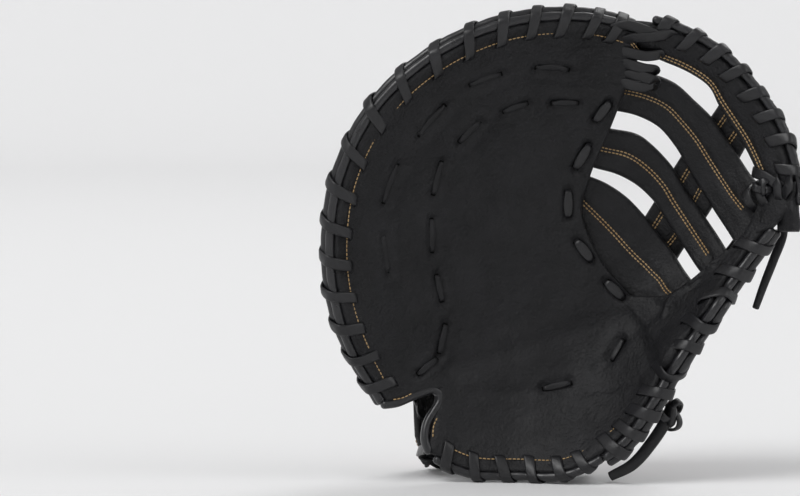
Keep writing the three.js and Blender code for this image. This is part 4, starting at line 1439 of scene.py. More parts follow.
@dataclass
class Rim:
    """The rolled welts round the mitt and the lacing that winds over them.

    Attributes:
        shop: makes the pieces.
        palm: gives the rim edges.
        roll: radius of a welt.
        lace_thick: thickness of the lacing.
        points_a_wrap: points along one wrap.
    """

    shop: Workshop
    palm: Palm
    roll: float = 2.9
    lace_thick: float = 1.9
    points_a_wrap: int = 40

    def __post_init__(self) -> None:
        """Keep the edges."""
        self.finger, self.thumb = self.palm.finger_rim, self.palm.thumb_rim
        self.band = flat_curve("band_outer")

    def welt(self, edge: Curve, start: float, end: float, out: float, behind: float) -> Mesh:
        """A rolled welt along an edge.

        Args:
            edge: flat edge.
            start: first share.
            end: last share.
            out: millimetres past the leather's edge.
            behind: millimetres behind the face.

        Returns:
            The roll, with a slight unevenness along it.
        """
        s = np.linspace(start, end, 260)
        points = rim_point(edge, s, out + 0 * s, behind + 0 * s)
        looks = unit(points - rim_point(edge, s, 0 * s, behind + 0 * s))
        wobble = 1 + 0.03 * np.sin(s * 190) + 0.03 * np.sin(s * 71 + 1)
        return sweep(points, looks, 2 * self.roll * wobble, 2 * self.roll * wobble, sides=16, square=1.0)

    def wrap(self, edge: Curve, w: Wraps) -> Mesh:
        """Lacing wound round an edge.

        Args:
            edge: flat edge.
            w: the run.

        Returns:
            A flat strip that goes round the run's closed path once a wrap. It advances along the edge by the
            run's lean on the face and by the rest behind it.
        """
        loop = Curve(list(w.path[-1:]) + list(w.path) + list(w.path[:2]))
        each = self.points_a_wrap
        turn = np.arange(each * w.count) / each
        part = turn % 1.0
        spans = len(w.path) + 2
        spot = loop.at((1 + part * len(w.path)) / spans)
        advance = np.where(part < 0.5, 2 * w.lean * part, w.lean + 2 * (1 - w.lean) * (part - 0.5))
        s = lerp(w.start, w.end, (np.floor(turn) + advance) / w.count)
        swing = 1 + 0.05 * np.sin(turn * 2.3) + 0.04 * np.sin(turn * 5.1 + 1)
        points = rim_point(edge, np.clip(s, 0, 1), spot[:, 0] * swing, spot[:, 1])
        core = np.array(w.path).mean(0)
        looks = unit(points - rim_point(edge, s, core[0] + 0 * s, core[1] + 0 * s))
        width = w.width * (1 + 0.06 * np.sin(turn * 3.1))
        return sweep(points, looks, width, self.lace_thick, sides=12, square=0.55)

    def build(self) -> None:
        """Build the welts and the lacing, each in place of its CAD nodes."""
        for name, edge, ends, out, behind in (
            ("finger_welt_front", self.finger, (0.01, 0.985), WELT_OUT, FIRST_WELT),
            ("finger_welt_back", self.finger, (0.01, 0.985), WELT_OUT, SECOND_WELT),
            ("thumb_welt_front", self.thumb, (0.42, 0.985), THUMB_WELT_OUT, FIRST_WELT),
            ("thumb_welt_back", self.thumb, (0.42, 0.985), THUMB_WELT_OUT, SECOND_WELT),
            ("heel_welt", self.thumb, (0.03, 0.4), WELT_OUT, FIRST_WELT),
            ("band_welt", self.band, (0.02, 0.98), WELT_OUT, FIRST_WELT),
        ):
            mesh = self.welt(edge, *ends, out, behind)
            self.shop.piece(name + "_roll", mesh, WELT, Piece.ROLLED_WELT, [name])
        for name, edge, wraps in (
            ("finger_rim_lace", self.finger, Wraps(0.02, 0.985, 17, TWO_WELTS)),
            ("thumb_rim_lace", self.thumb, Wraps(0.43, 0.985, 10, THUMB_WELTS, 7.6)),
            ("heel_lace", self.thumb, Wraps(0.03, 0.4, 6, ONE_WELT)),
            ("band_lace", self.band, Wraps(0.02, 0.97, 8, ONE_WELT, 7.4)),
        ):
            self.shop.piece(name + "_winding", self.wrap(edge, wraps), LACE, Piece.RAWHIDE, [name])


@dataclass
class Web:
    """The web: three padded bars, the post behind them, the band round the top and the side panels.

    Attributes:
        shop: makes the pieces.
        band_reach: how far the band passes its edge, to its welt.
        fullness: how full the padded pieces are.
        double: how far each row of a double seam lies beside its line.
        thread: the stitching.
        bar_seam: share across a bar where its seam runs, then depth and width of the groove.
        post_seams: shares across the post where its seams run.
        band_seam: share across the band where its seam runs.
    """

    shop: Workshop
    band_reach: float = 2.4
    fullness: float = 0.8
    double: tuple[float, float] = (-1.05, 1.05)
    thread: Thread = Thread(pitch=2.5, length=1.95, width=0.95, height=0.8)
    bar_seam: tuple[float, float, float] = (0.5, 1.5, 3.2)
    post_seams: tuple[float, float] = (0.3, 0.7)
    band_seam: float = 0.2

    def __post_init__(self) -> None:
        """Work out the surfaces."""
        self.bars = {
            name: on_bowl(flat_curve(name + "_bar_top"), flat_curve(name + "_bar_foot"), BAR_LAYER)
            for name in ("upper", "middle", "lower")
        }
        self.post = on_bowl(flat_curve("post_left"), flat_curve("post_right"), self.post_layer)
        outer = Pushed(flat_curve("band_seen_outer"), self.band_reach)
        self.band = on_bowl(flat_curve("band_seen_inner"), outer, self.band_layer)
        self.side = arched(self.side_start, spatial_curve("side_seam").at, 1.0)
        self.base = arched(spatial_curve("base_inner").at, spatial_curve("base_outer").at, 1.0)

    def post_layer(self, s: Array) -> Array:
        """Depth of the post's face, which dives behind the side panel towards its foot."""
        return lerp(POST_LAYER, POST_FOOT_LAYER, smooth((s - 0.6) / 0.3))

    def band_layer(self, s: Array) -> Array:
        """Depth of the band's face, whose ends run behind the palm."""
        return (PALM_THICK + 0.6) * (1 - smooth(s / 0.1) + smooth((s - 0.9) / 0.08))

    def side_start(self, s: Array) -> Array:
        """Points of the side panel's edge behind the web."""
        place = flat_curve("side_inner").at(s)
        return BOWL.place(place[..., 0], place[..., 1], SIDE_LAYER + 0 * s)

    def quilt(self, surface: Surface, lines: Sequence[float], depth: float, width: float) -> Relief:
        """A groove along each stitched line of a padded piece.

        Args:
            surface: the piece's surface.
            lines: shares across.
            depth: how deep the thread pulls the leather.
            width: how wide the groove is.

        Returns:
            The height that the groove adds.
        """
        s = np.linspace(0, 1, 60)
        paths = [surface(s, np.full(60, t), 0 * s + 3) for t in lines]

        def relief(lay: Array) -> Array:
            """Fine wrinkles less a bell-shaped groove along each line."""
            rise = wrinkles(lay, 14.0, 0.12, 21)
            for path in paths:
                rise -= depth * np.exp(-((line_gap(lay, path) / width) ** 2))
            return rise

        return relief

    def build(self) -> None:
        """Build the bars, post, band and panels with their stitching."""
        seams = Mesh()
        run = np.linspace(0.04, 0.96, 400)
        across, deep, wide = self.bar_seam
        for name, surface in self.bars.items():
            groove = self.quilt(surface, [across], deep, wide)
            mesh = leather(surface, dense(100), dense(34), 0, BAR_THICK, 3.25, crown=0.9, face=groove, back=groove)
            self.pad(f"web_bar_{name}_pad", mesh, f"web_bar_{name}")
            seams.join(self.double_row(surface, run, across, 0.55))
            seams.join(self.double_row(surface, run, across, BAR_THICK - 0.55, True))
        groove = self.quilt(self.post, self.post_seams, 1.0, 2.6)
        mesh = leather(self.post, dense(90), dense(34), 0, POST_THICK, 3.0, crown=0.7, face=groove, back=groove)
        self.pad("web_post_pad", mesh, "web_post")
        for t in self.post_seams:
            seams.join(self.double_row(self.post, run, t, 0.35))
            seams.join(self.double_row(self.post, run, t, POST_THICK - 0.35, True))
        groove = self.quilt(self.band, [self.band_seam], 1.1, 2.6)
        mesh = leather(self.band, dense(110), dense(30), 0, BAND_THICK, 3.0, crown=0.6, face=groove, back=groove)
        self.pad("web_band_pad", mesh, "web_top_band")
        run = np.linspace(0.1, 0.93, 400)
        seams.join(self.double_row(self.band, run, self.band_seam, 0.45))
        seams.join(self.double_row(self.band, run, self.band_seam, BAND_THICK - 0.45, True))
        for name, surface, counts in (
            ("web_side_panel", self.side, (90, 24)), ("web_base_panel", self.base, (50, 16)),
        ):
            mesh = leather(surface, dense(counts[0]), dense(counts[1]), 0, SHELL_THICK, 1.5,
                           back=partial(wrinkles, size=18.0, height=0.3, seed=5))
            self.shop.piece(name + "_leather", mesh, LEATHER, Piece.BLACK_LEATHER, [name], True)
        seams.join(self.double_row(self.side, np.linspace(0.03, 0.97, 500), 0.93, SHELL_THICK, True))
        seams.join(self.double_row(self.base, np.linspace(0.05, 0.95, 300), 0.86, SHELL_THICK, True))
        self.shop.piece("web_stitches", seams, TAN)

    def pad(self, name: str, mesh: Mesh, node: str) -> None:
        """Make one padded piece of the web in place of its CAD node."""
        self.shop.piece(name, mesh, PAD_LEATHER, Piece.BLACK_LEATHER, [node], True, self.fullness)

    def double_row(self, surface: Surface, s: Array, t: float, depth: float, back: bool = False) -> Mesh:
        """A double row of stitches along a line of a piece.

        Args:
            surface: the piece's surface.
            s: shares along.
            t: share across.
            depth: out of the face under the thread.
            back: whether the rows look backwards.

        Returns:
            The stitches.
        """
        across = np.full(s.shape, t)
        points = surface(s, across, depth + 0 * s)
        step = surface(s, across, depth + (1.0 if back else -1.0) + 0 * s)
        mesh = Mesh()
        for aside in self.double:
            mesh.join(stitches(points, unit(step - points), self.thread, aside))
        return mesh


def sampled(line: Callable[[Array], Array]) -> Callable[[Array], Array]:
    """Replace a slow line by straight spans between 800 of its points.

    Args:
        line: points at shares.

    Returns:
        The quick line.
    """
    shares = np.linspace(0, 1, 801)
    rows = line(shares)

    def quick(s: Array) -> Array:
        """Points at shares of the line."""
        return np.stack([np.interp(s, shares, rows[:, k]) for k in range(rows.shape[1])], -1)

    return quick


@dataclass
class Back:
    """The two back shells with the tongue pad, the oval patch and their seams.

    Attributes:
        shop: makes the pieces.
        palm: gives the finger rim.
        oval_middle: across and up of the oval patch.
        oval_short: its width.
        oval_long: its length.
        oval_lean: its lean in radians.
        finger_arch: how strongly the finger shell bulges.
        thumb_arch: how strongly the thumb shell bulges.
        thread: the seams.
        double: how far each row of a double seam lies beside its line.
        pad_height: how far the tongue pad stands off the shell.
        pad_crown: how much more it rises in its middle.
    """

    shop: Workshop
    palm: Palm
    oval_middle: tuple[float, float] = (0.644, 0.241)
    oval_short: float = 19.0
    oval_long: float = 33.0
    oval_lean: float = -0.45
    finger_arch: float = 1.9
    thumb_arch: float = 1.7
    thread: Thread = Thread(pitch=2.6, length=2.0, width=0.9, height=0.75)
    double: tuple[float, float] = (-1.2, 1.2)
    pad_height: float = 3.0
    pad_crown: float = 1.6

    def __post_init__(self) -> None:
        """Work out the shells."""
        self.finger = arched(self.shell_edge(self.palm.finger_rim),
                             sampled(spatial_curve("finger_back_edge").at), self.finger_arch)
        self.thumb = arched(self.shell_edge(flat_curve("thumb_shell_rim")),
                            sampled(spatial_curve("thumb_back_edge").at), self.thumb_arch)
        self.over_fingers, self.over_thumb = over_shell(self.finger), over_shell(self.thumb)

    def shell_edge(self, edge: Curve) -> Callable[[Array], Array]:
        """A shell's edge behind the rim's stack of welts.

        Args:
            edge: flat edge of the rim.

        Returns:
            Points at shares of the edge.
        """

        def line(s: Array) -> Array:
            """Points a little inside the rim and behind the welts."""
            return rim_point(edge, s, -SHELL_INSET + 0 * s, RIM_STACK + 0 * s)

        return sampled(line)

    def crumple(self, lay: Array) -> Array:
        """Wide and fine wrinkles of the shells."""
        return wrinkles(lay, 26.0, 0.5, 12) + wrinkles(lay, 9.0, 0.08, 13)

    def build(self) -> None:
        """Build the shells, the pad, the patch and the stitching."""
        mesh = leather(self.finger, dense(190), dense(90), 0, SHELL_THICK, 1.5, back=self.crumple)
        self.shop.piece("finger_back_leather", mesh, LEATHER, Piece.BLACK_LEATHER, ["finger_back"], True)
        mesh = leather(self.thumb, dense(150), dense(70), 0, SHELL_THICK, 1.5, back=self.crumple)
        self.shop.piece("thumb_back_leather", mesh, LEATHER, Piece.BLACK_LEATHER, ["thumb_back"], True)
        rows, skin = Mesh(), SHELL_THICK + 0.25
        rows.join(seam(self.finger, np.linspace(0.5, 0.985, 600), 0.965, skin, self.thread, self.double))
        rows.join(seam(self.finger, np.linspace(0.06, 0.5, 500), 0.955, skin, self.thread))
        rows.join(seam(self.thumb, np.linspace(0.05, 0.97, 600), 0.955, skin, self.thread))
        left, right = flat_curve("pad_left"), flat_curve("pad_right")

        def pad(s: Array, t: Array, out: Array) -> Array:
            """The finger shell's skin between the pad's two long edges."""
            flat = lerp(left.at(s), right.at(s), np.asarray(t)[..., None])
            return self.over_fingers(flat[..., 0], flat[..., 1], out)

        low = SHELL_THICK + LAYER_GAP
        high = low + self.pad_height
        mesh = leather(pad, dense(60), dense(36), low - 0.5, high, 2.6, crown=self.pad_crown)
        self.shop.piece("index_pad_cushion", mesh, PAD_LEATHER, Piece.BLACK_LEATHER, ["index_pad"], True, 0.8)
        for t in (0.13, 0.87):
            rows.join(seam(pad, np.linspace(0.03, 0.93, 300), t, high + 0.4, self.thread))
        self.patch(rows)
        self.shop.piece("back_stitches", rows, TAN)

    def patch(self, rows: Mesh) -> None:
        """Build the oval patch: a plain red oval with a light ring.

        Args:
            rows: takes the stitching round it.
        """
        middle = at_px(*self.oval_middle)

        def oval(s: Array, t: Array, out: Array) -> Array:
            """Polar places of the leaning oval, laid on the thumb shell."""
            x = self.oval_short / 2 * t * np.cos(2 * math.pi * s)
            z = self.oval_long / 2 * t * np.sin(2 * math.pi * s)
            c, d = math.cos(self.oval_lean), math.sin(self.oval_lean)
            return self.over_thumb(middle[0] + x * c - z * d, middle[1] + x * d + z * c, out)

        low = SHELL_THICK + 0.4
        s, t = np.linspace(0, 1, 73), np.concatenate([np.linspace(0.0, 0.9, 9), [0.94, 0.97, 0.99, 1.0]])
        mesh = leather(oval, s, t, low - 0.6, low + 1.2, 0.7, Free(False, False, False, True), crown=0.3)
        self.shop.piece("thumb_patch_oval", mesh, RED, Piece.RED_PATCH, ["thumb_patch"], True)
        ring = Mesh()
        for share, width in ((0.97, 1.4), (0.72, 0.9)):
            points = oval(s, np.full(73, share), 0 * s + low + 1.25)
            looks = unit(oval(s, np.full(73, share), 0 * s + low + 2.5) - points)
            ring.join(sweep(points, looks, width, 0.7, sides=8, square=0.8))
        self.shop.piece("thumb_patch_ring", ring, WHITE)


@dataclass
class Wrist:
    """The wrist strap with its label, and the rolled bindings of the wrist opening and the heel notch.

    Attributes:
        shop: makes the pieces.
        label_along: shares along the strap where the label starts and ends.
        label_across: shares across the strap between which it lies.
        fullness: how full the strap is.
        stripe: width of the label's stripes, and their thickness.
        opening_roll: width and thickness of the roll round the wrist opening.
        notch_roll: width and thickness of the roll along the heel's notch.
        thread: the strap's stitching.
        label_thread: the label's stitching.
    """

    shop: Workshop
    label_along: tuple[float, float] = (0.22, 0.75)
    label_across: tuple[float, float] = (0.1, 0.92)
    fullness: float = 0.5
    stripe: tuple[float, float] = (2.6, 0.8)
    opening_roll: tuple[float, float] = (6.2, 5.2)
    notch_roll: tuple[float, float] = (5.6, 6.6)
    thread: Thread = Thread(pitch=2.6, length=2.0, width=0.9, height=0.75)
    label_thread: Thread = Thread(pitch=1.9, length=1.5, width=0.7, height=0.5)

    def __post_init__(self) -> None:
        """Work out the strap."""
        self.strap = arched(spatial_curve("strap_seen_top").at, spatial_curve("strap_seen_bottom").at, 1.0)

    def label(self, s: Array, t: Array, out: Array) -> Array:
        """The label's part of the strap.

        Args:
            s: share along the label.
            t: share across it.
            out: millimetres off the strap's inner face.

        Returns:
            Points.
        """
        return self.strap(lerp(*self.label_along, s), lerp(*self.label_across, t), out)

    def pile(self, lay: Array) -> Array:
        """Tufts of the strap's fleece."""
        return wrinkles(lay, 2.6, 0.22, 8) + wrinkles(lay, 6.0, 0.2, 18)

    def build(self) -> None:
        """Build the strap, the label with two stripes, the fleece and the bindings."""
        mesh = leather(self.strap, dense(90), dense(40), 0, STRAP_THICK, 2.4, crown=0.5,
                       back=partial(wrinkles, size=18.0, height=0.25, seed=7))
        self.shop.piece("wrist_strap_leather", mesh, LEATHER, Piece.BLACK_LEATHER, ["wrist_strap"], True,
                        self.fullness)
        fleece = leather(self.strap, 0.04 + 0.92 * dense(90), 0.06 + 0.88 * dense(36), -1.2, 0.8, 0.9,
                         face=self.pile)
        self.shop.piece("strap_fleece", fleece, FLEECE, Piece.DARK_LINING, (), True)
        face = STRAP_THICK + 0.4
        base = leather(self.label, dense(70), dense(30), face - 0.4, face + 1.2, 0.7)
        self.shop.piece("strap_label_cloth", base, RED, Piece.RED_PATCH, ["strap_label"], True)
        trim = Mesh()
        for t in (0.13, 0.87):
            s = np.linspace(0.06, 0.94, 80)
            points = self.label(s, np.full(80, t), 0 * s + face + 1.3)
            looks = unit(self.label(s, np.full(80, t), 0 * s + face + 2.3) - points)
            trim.join(sweep(points, looks, *self.stripe, sides=8, square=0.6))
        for t in (0.035, 0.965):
            trim.join(seam(self.label, np.linspace(0.01, 0.99, 300), t, face + 1.3, self.label_thread))
        self.shop.piece("label_trim", trim, WHITE)
        rows, run, cross = Mesh(), np.linspace(0.03, 0.97, 400), np.linspace(0.08, 0.92, 200)
        for t in (0.05, 0.94):
            rows.join(seam(self.strap, run, t, STRAP_THICK + 0.2, self.thread))
        for s in (0.05, 0.1, 0.9):
            rows.join(seam(self.strap, np.full(200, s), cross, STRAP_THICK + 0.45, self.thread))
        self.shop.piece("strap_stitches", rows, TAN)
        self.bindings()

    def bindings(self) -> None:
        """Build the rolled binding of the wrist opening and of the heel notch."""
        points = spatial_curve("wrist_seen_edge").at(np.linspace(0, 1, 260))
        looks = unit(points - points.mean(0))
        mesh = sweep(points, looks, *self.opening_roll, sides=16, square=0.9)
        self.shop.piece("wrist_binding_roll", mesh, WELT, Piece.ROLLED_WELT, ["wrist_binding"])
        places = flat_curve("notch_seen_edge").at(np.linspace(0, 1, 120))
        points = on_face(places, PALM_THICK / 2 - 0.3)
        mesh = sweep(points, face_looks(places), *self.notch_roll, sides=16, square=0.9)
        self.shop.piece("notch_binding_roll", mesh, WELT, Piece.ROLLED_WELT, ["notch_binding"])


class Ties:
    """The knots, tails and cross ties of rawhide."""

    def __init__(self, shop: Workshop, back: Back) -> None:
        """Keep the shells that the ties lie on.

        Args:
            shop: makes the pieces.
            back: gives the shells.
        """
        self.shop, self.back = shop, back

    def hanging(self, rows: Sequence[Sequence[float]], look: Sequence[float], width: float = 8.0) -> Mesh:
        """A free strip of rawhide through places.

        Args:
            rows: across, up and forward share.
            look: direction its broad side looks along.
            width: its width.

        Returns:
            The strip, tapering a little to its end.
        """
        points = along([(at_px(a, u)[0], -f * PALM_DEPTH, at_px(a, u)[1]) for a, u, f in rows], 48)
        taper = 1 - 0.25 * np.linspace(0, 1, 49) ** 3
        return sweep(points, np.tile(unit(np.array(look, float)), (49, 1)), width * taper, 1.8)

    def laid(self, rows: Sequence[Sequence[float]], lay: Callable[[Array, Array, Array], Array],
             width: float = 8.0) -> Mesh:
        """A strip of rawhide lying on leather.

        Args:
            rows: across, up and lift.
            lay: surface addressed by x, z and out.
            width: its width.

        Returns:
            The strip.
        """
        path = along([(*at_px(a, u), lift) for a, u, lift in rows], 40)
        points = lay(path[:, 0], path[:, 1], path[:, 2])
        looks = unit(lay(path[:, 0], path[:, 1], path[:, 2] + 4) - points)
        return sweep(points, looks, width, 1.8)

    def tied(self, name: str, centre: Array, size: tuple[float, float, float], turn: float, look: Sequence[float],
             strips: Sequence[Mesh]) -> None:
        """Make one knot with its strips.

        Args:
            name: the CAD node it replaces.
            centre: the knot's middle.
            size: the knot's extents.
            turn: turn about its look.
            look: direction it looks along.
            strips: strips that leave it.
        """
        mesh = knot(centre, size, turn, np.array(look, float))
        for strip in strips:
            mesh.join(strip)
        self.shop.piece(name + "_tied", mesh, LACE, Piece.RAWHIDE, [name])

    def build(self) -> None:
        """Build every tie."""
        size = (13.0, 7.0, 11.0)
        post = lambda x, z, out: BOWL.place(x, z, POST_FACE + out)
        fingers, thumb = self.back.over_fingers, self.back.over_thumb
        spot = lambda p, lay, out: lay(*at_px(*p)[:, None], np.array([out]))[0]
        free = lambda p, f: np.array([at_px(*p)[0], -f * PALM_DEPTH, at_px(*p)[1]])
        s3 = SHELL_THICK
        upper = (0.774, 0.616)
        self.tied("post_lace_upper", spot(upper, post, 4.6), size, 0.4, (0.3, 1, 0), [
            self.laid([(*upper, 4.6), (0.680, 0.658, 4), (0.594, 0.671, 4)], post),
            self.laid([(*upper, 4.6), (0.833, 0.591, 3.4), (0.887, 0.570, 1.5)], post)])
        lower = (0.611, 0.418)
        self.tied("post_lace_lower", free(lower, -0.58), size, -0.3, (0, 1, 0), [
            self.hanging([(*lower, -0.58), (0.544, 0.439, -0.6), (0.494, 0.494, -0.55)], (0, 1, 0)),
            self.hanging([(*lower, -0.58), (0.690, 0.401, -0.46), (0.774, 0.388, -0.26)], (0.3, 1, 0))])
        crown = (0.548, 0.852)
        self.tied("crown_lace", spot(crown, fingers, s3 + 4.6), size, 0.2, (0, 1, 0.2), [
            self.laid([(*crown, s3 + 4.6), (0.494, 0.878, s3 + 4), (0.418, 0.890, s3 + 3)], fingers, 6)])
        tip = (0.590, 0.924)
        self.tied("tip_lace", spot(tip, fingers, s3 + 4.4), (11.0, 6.0, 9.0), -0.2, (0, 1, 0.3), [
            self.laid([(*tip, s3 + 4.4), (0.548, 0.928, s3 + 3.6), (0.485, 0.924, s3 + 2.6)], fingers, 6)])
        top = (0.874, 0.489)
        self.tied("thumb_tip_lace", spot(top, thumb, s3 + 6), (11.0, 8.0, 14.0), 0.5, (0.4, 1, 0), [
            self.laid([(*top, s3 + 6), (0.858, 0.447, s3 + 5), (0.824, 0.401, s3 + 4)], thumb, 6)])
        tail = self.hanging([(0.967, 0.565, 0.2), (0.975, 0.527, 0.2), (0.954, 0.464, 0.2), (0.935, 0.414, 0.2),
                             (0.918, 0.365, 0.2)], (0.3, 1, 0), 6)
        self.shop.piece("thumb_tip_tail_strip", tail, LACE, Piece.RAWHIDE, ["thumb_tip_tail"])
        heel = (0.736, 0.143)
        self.tied("thumb_heel_lace", free(heel, 0.42), (18.0, 11.0, 21.0), 0.2, (0.3, -1, 0), [
            self.hanging([(*heel, 0.42), (0.699, 0.084, 0.4), (0.657, 0.034, 0.38), (0.611, 0.008, 0.36)],
                         (0.3, 1, 0))])
        strap = (0.226, 0.110)
        self.tied("strap_lace_upper", free(strap, -0.5), (8.0, 12.0, 12.0), 0.0, (-1, 0.2, 0), [
            self.hanging([(0.207, 0.156, -0.18), (0.209, 0.135, -0.34), (*strap, -0.5)], (-1, 0, 0.3), 7)])
        corner = (0.226, 0.034)
        self.tied("strap_lace_lower", free(corner, -0.5), (8.0, 12.0, 10.0), 0.3, (-1, 0.2, 0), [
            self.hanging([(0.222, 0.063, 0.22), (0.209, 0.051, -0.1), (0.209, 0.042, -0.35), (*corner, -0.5)],
                         (-1, 0, 0.3), 7)])
        self.wrist_side()
        self.tip_ties()
        self.thumb_tip()

    def wrist_side(self) -> None:
        """Lace the strap's end to the finger side of the heel, with a knot and two short tails."""
        lines = (
            [(0.188, 0.177, -0.08), (0.203, 0.156, -0.28), (0.211, 0.118, -0.42), (0.215, 0.076, -0.46)],
            [(0.197, 0.181, -0.14), (0.215, 0.152, -0.38), (0.222, 0.110, -0.5), (0.224, 0.051, -0.53)],
            [(0.211, 0.135, -0.36), (0.218, 0.089, -0.52), (0.220, 0.042, -0.6), (0.226, 0.004, -0.62)],
            [(0.226, 0.080, -0.56), (0.234, 0.046, -0.66), (0.243, 0.021, -0.7), (0.251, 0.002, -0.7)],
        )
        mesh = Mesh()
        for rows in lines:
            mesh.join(self.hanging(rows, (-1, 0.6, 0.2), 5.6))
        middle = np.array([at_px(0.222, 0.076)[0], 0.56 * PALM_DEPTH, at_px(0.222, 0.076)[1]])
        mesh.join(knot(middle, (9.0, 12.0, 12.0), 0.5, np.array([-0.8, 1.0, 0.1])))
        self.shop.piece("wrist_side_lacing", mesh, LACE, Piece.RAWHIDE)

    def loop(self, rows: Sequence[Sequence[float]], width: float) -> Mesh:
        """A lace that goes over an edge of the palm and back behind it.

        Args:
            rows: across, up and millimetres in front of the face.
            width: its width.

        Returns:
            The strip.
        """
        return self.laid(rows, lambda x, z, out: BOWL.place(x, z, -out), width)

    def tip_ties(self) -> None:
        """Tie the finger tip to the band and the upper bar with chunky loops."""
        loops = (
            [((0.611, 0.958), (0.640, 0.970), (0.678, 0.962), (0.711, 0.941), (0.703, 0.920)),
             ((0.632, 0.932), (0.657, 0.945), (0.690, 0.949), (0.728, 0.949), (0.745, 0.932)),
             ((0.626, 0.911), (0.649, 0.911), (0.682, 0.907), (0.711, 0.907), (0.699, 0.899))],
            [((0.630, 0.884), (0.649, 0.886), (0.678, 0.880), (0.701, 0.873), (0.690, 0.861))],
            [((0.626, 0.840), (0.644, 0.844), (0.674, 0.840), (0.701, 0.844), (0.690, 0.827)),
             ((0.632, 0.857), (0.661, 0.865), (0.695, 0.857), (0.703, 0.848), (0.690, 0.840))],
        )
        for k, group in enumerate(loops):
            mesh = Mesh()
            for j, row in enumerate(group):
                lifts = (-1.5, 1.6 + 0.8 * (j % 2), 3.2 + 0.8 * (j % 2), 0.8, -5.0)
                mesh.join(self.loop([(*p, lift) for p, lift in zip(row, lifts)], 7.4))
            self.shop.piece(f"tip_tie_{k + 1}_strip", mesh, LACE, Piece.RAWHIDE, [f"tip_tie_{k + 1}"])

    def thumb_tip(self) -> None:
        """Build the thumb's leather tip with the lacing that ties it to the web's band."""
        tip = on_bowl(flat_curve("tip_left"), flat_curve("tip_right"), -0.6)
        mesh = leather(tip, dense(40), dense(24), 0, PALM_THICK, 2.4, crown=0.8,
                       face=lambda p: wrinkles(p, 14.0, 0.4, 31))
        self.shop.piece("thumb_tip_leather", mesh, LEATHER, Piece.BLACK_LEATHER, (), True)
        teeth = Mesh()
        for k, x in enumerate(THUMB_TEETH):
            top, mid, foot = at_px(x[0], x[1]), at_px(x[2], x[3]), at_px(x[4], x[5])
            rows = [(top, -4.0), (lerp(top, mid, 0.4), 1.6), (mid, 3.4 + 0.8 * (k % 2)), (lerp(mid, foot, 0.6), 2.0), (foot, -3.0)]
            path = along([(*p, lift) for p, lift in rows], 40)
            points = BOWL.place(path[:, 0], path[:, 1], -path[:, 2])
            teeth.join(sweep(points, face_looks(path[:, :2]), 6.6, 2.0))
        teeth.join(knot(on_face(at_px(0.933, 0.627), -4.0), (13.0, 8.0, 11.0), 0.4, np.array([0.0, -1.0, 0.1])))
        self.shop.piece("thumb_tip_lacing", teeth, LACE, Piece.RAWHIDE)


THUMB_TEETH = (
    (0.891, 0.624, 0.900, 0.603, 0.908, 0.578),
    (0.914, 0.641, 0.927, 0.612, 0.933, 0.582), (0.946, 0.654, 0.960, 0.629, 0.958, 0.595),
    (0.975, 0.658, 0.983, 0.629, 0.962, 0.603), (0.900, 0.658, 0.933, 0.650, 0.971, 0.624),
)


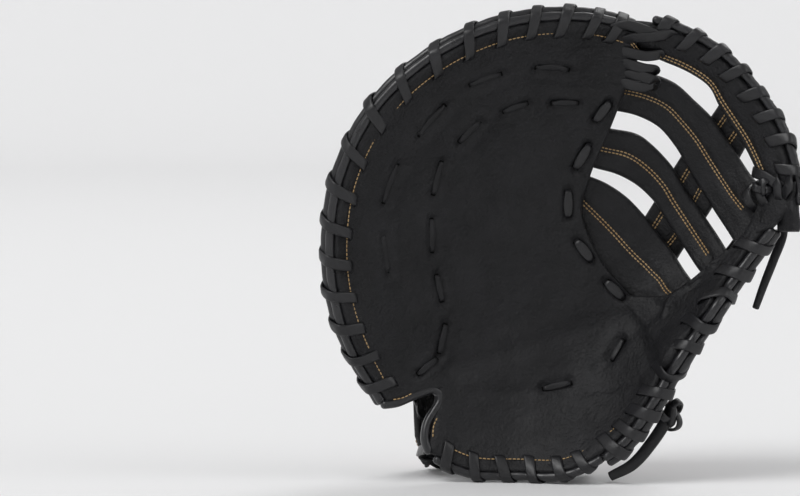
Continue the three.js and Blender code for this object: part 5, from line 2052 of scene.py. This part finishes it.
class Studio:
    """A plain pale floor that curves up behind the mitt, soft lights and the camera."""

    AIM = (-0.1006, -0.03, 0.149)
    DISTANCE = 2.6
    ELEVATION = 3.5
    FIELD = 0.5038

    def floor(self) -> None:
        """Build the pale floor: a disc that curves up into a low wall all round, one profile turned about Z."""
        bend = np.linspace(0, math.pi / 2, 14)
        radius = np.concatenate([[0.01, 1.0, 3.0], 5.0 + 1.5 * np.sin(bend), [6.5]])
        height = np.concatenate([[0.0, 0.0, 0.0], 1.5 - 1.5 * np.cos(bend), [3.2]])
        turn = np.linspace(0, 2 * math.pi, 96, endpoint=False)
        points = np.stack([np.outer(radius, np.cos(turn)), np.outer(radius, np.sin(turn)),
                           np.outer(height, np.ones(96))], -1).reshape(-1, 3)
        data = bpy.data.meshes.new("floor")
        data.from_pydata(points.tolist(), [], grid_faces(len(radius), 96, True)[:, ::-1].tolist() + [list(range(96))])
        data.polygons.foreach_set("use_smooth", np.ones(len(data.polygons), bool))
        thing = bpy.data.objects.new("floor", data)
        bpy.context.scene.collection.objects.link(thing)
        material = bpy.data.materials.new("pale_floor")
        material.use_nodes = True
        shader = material.node_tree.nodes["Principled BSDF"]
        shader.inputs["Base Color"].default_value = (0.8, 0.8, 0.805, 1)
        shader.inputs["Roughness"].default_value = 0.9
        shader.inputs["Specular IOR Level"].default_value = 0.1
        data.materials.append(material)
        thing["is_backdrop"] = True

    def light(self, name: str, way: tuple[float, float, float], angle: float, power: float) -> None:
        """Add one broad soft light.

        Args:
            name: its name.
            way: where its light comes from.
            angle: its apparent size in degrees.
            power: its strength.
        """
        lamp = bpy.data.lights.new(name, "SUN")
        lamp.energy, lamp.angle = power, math.radians(angle)
        thing = bpy.data.objects.new(name, lamp)
        bpy.context.scene.collection.objects.link(thing)
        thing.location = way
        thing.rotation_euler = aim_rotation(way, (0.0, 0.0, 0.0))

    def build(self) -> None:
        """Build the floor, the world, the lights and the camera."""
        self.floor()
        world = bpy.data.worlds.new("studio")
        bpy.context.scene.world = world
        world.use_nodes = True
        world.node_tree.nodes["Background"].inputs["Color"].default_value = (1.0, 1.0, 1.0, 1)
        world.node_tree.nodes["Background"].inputs["Strength"].default_value = 0.42
        self.light("key", (-1.0, -0.9, 1.5), 30.0, 1.45)
        self.light("fill", (1.6, -0.7, 1.0), 35.0, 0.6)
        self.light("rim", (0.7, 1.2, 1.3), 30.0, 0.75)
        lens = bpy.data.cameras.new("camera")
        lens.sensor_width = 36.0
        lens.lens = 36.0 * (self.DISTANCE) / self.FIELD
        lens.clip_end = 50.0
        camera = bpy.data.objects.new("camera", lens)
        bpy.context.scene.collection.objects.link(camera)
        rise = math.radians(self.ELEVATION)
        x, y, z = self.AIM
        spot = (x, y - self.DISTANCE * math.cos(rise), z + self.DISTANCE * math.sin(rise))
        camera.location = spot
        camera.rotation_euler = aim_rotation(spot, self.AIM)
        bpy.context.scene.camera = camera
        bpy.context.scene.view_settings.view_transform = "Standard"


def aim_rotation(spot: Sequence[float], goal: Sequence[float]) -> tuple[float, float, float]:
    """Euler angles that turn a light or camera from one place towards another.

    Args:
        spot: where it stands.
        goal: where it looks.

    Returns:
        XYZ Euler angles in radians.
    """
    way = np.array(goal, float) - np.array(spot, float)
    return math.atan2(math.hypot(way[0], way[1]), -way[2]), 0.0, math.atan2(way[1], way[0]) - math.pi / 2


def main() -> None:
    """Load the frame, build every sub-assembly in order and close the frame."""
    logging.basicConfig(level=logging.INFO, format="%(message)s")
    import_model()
    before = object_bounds()
    shop = Workshop()
    palm = Palm(shop)
    palm.build()
    Rim(shop, palm).build()
    Web(shop).build()
    back = Back(shop, palm)
    back.build()
    Wrist(shop).build()
    Ties(shop, back).build()
    Studio().build()
    plain = lambda b: [[float(v) for v in row] for row in b]
    {"cad": plain(before), "model": plain(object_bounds())}


if __name__ == "__main__":
    main()
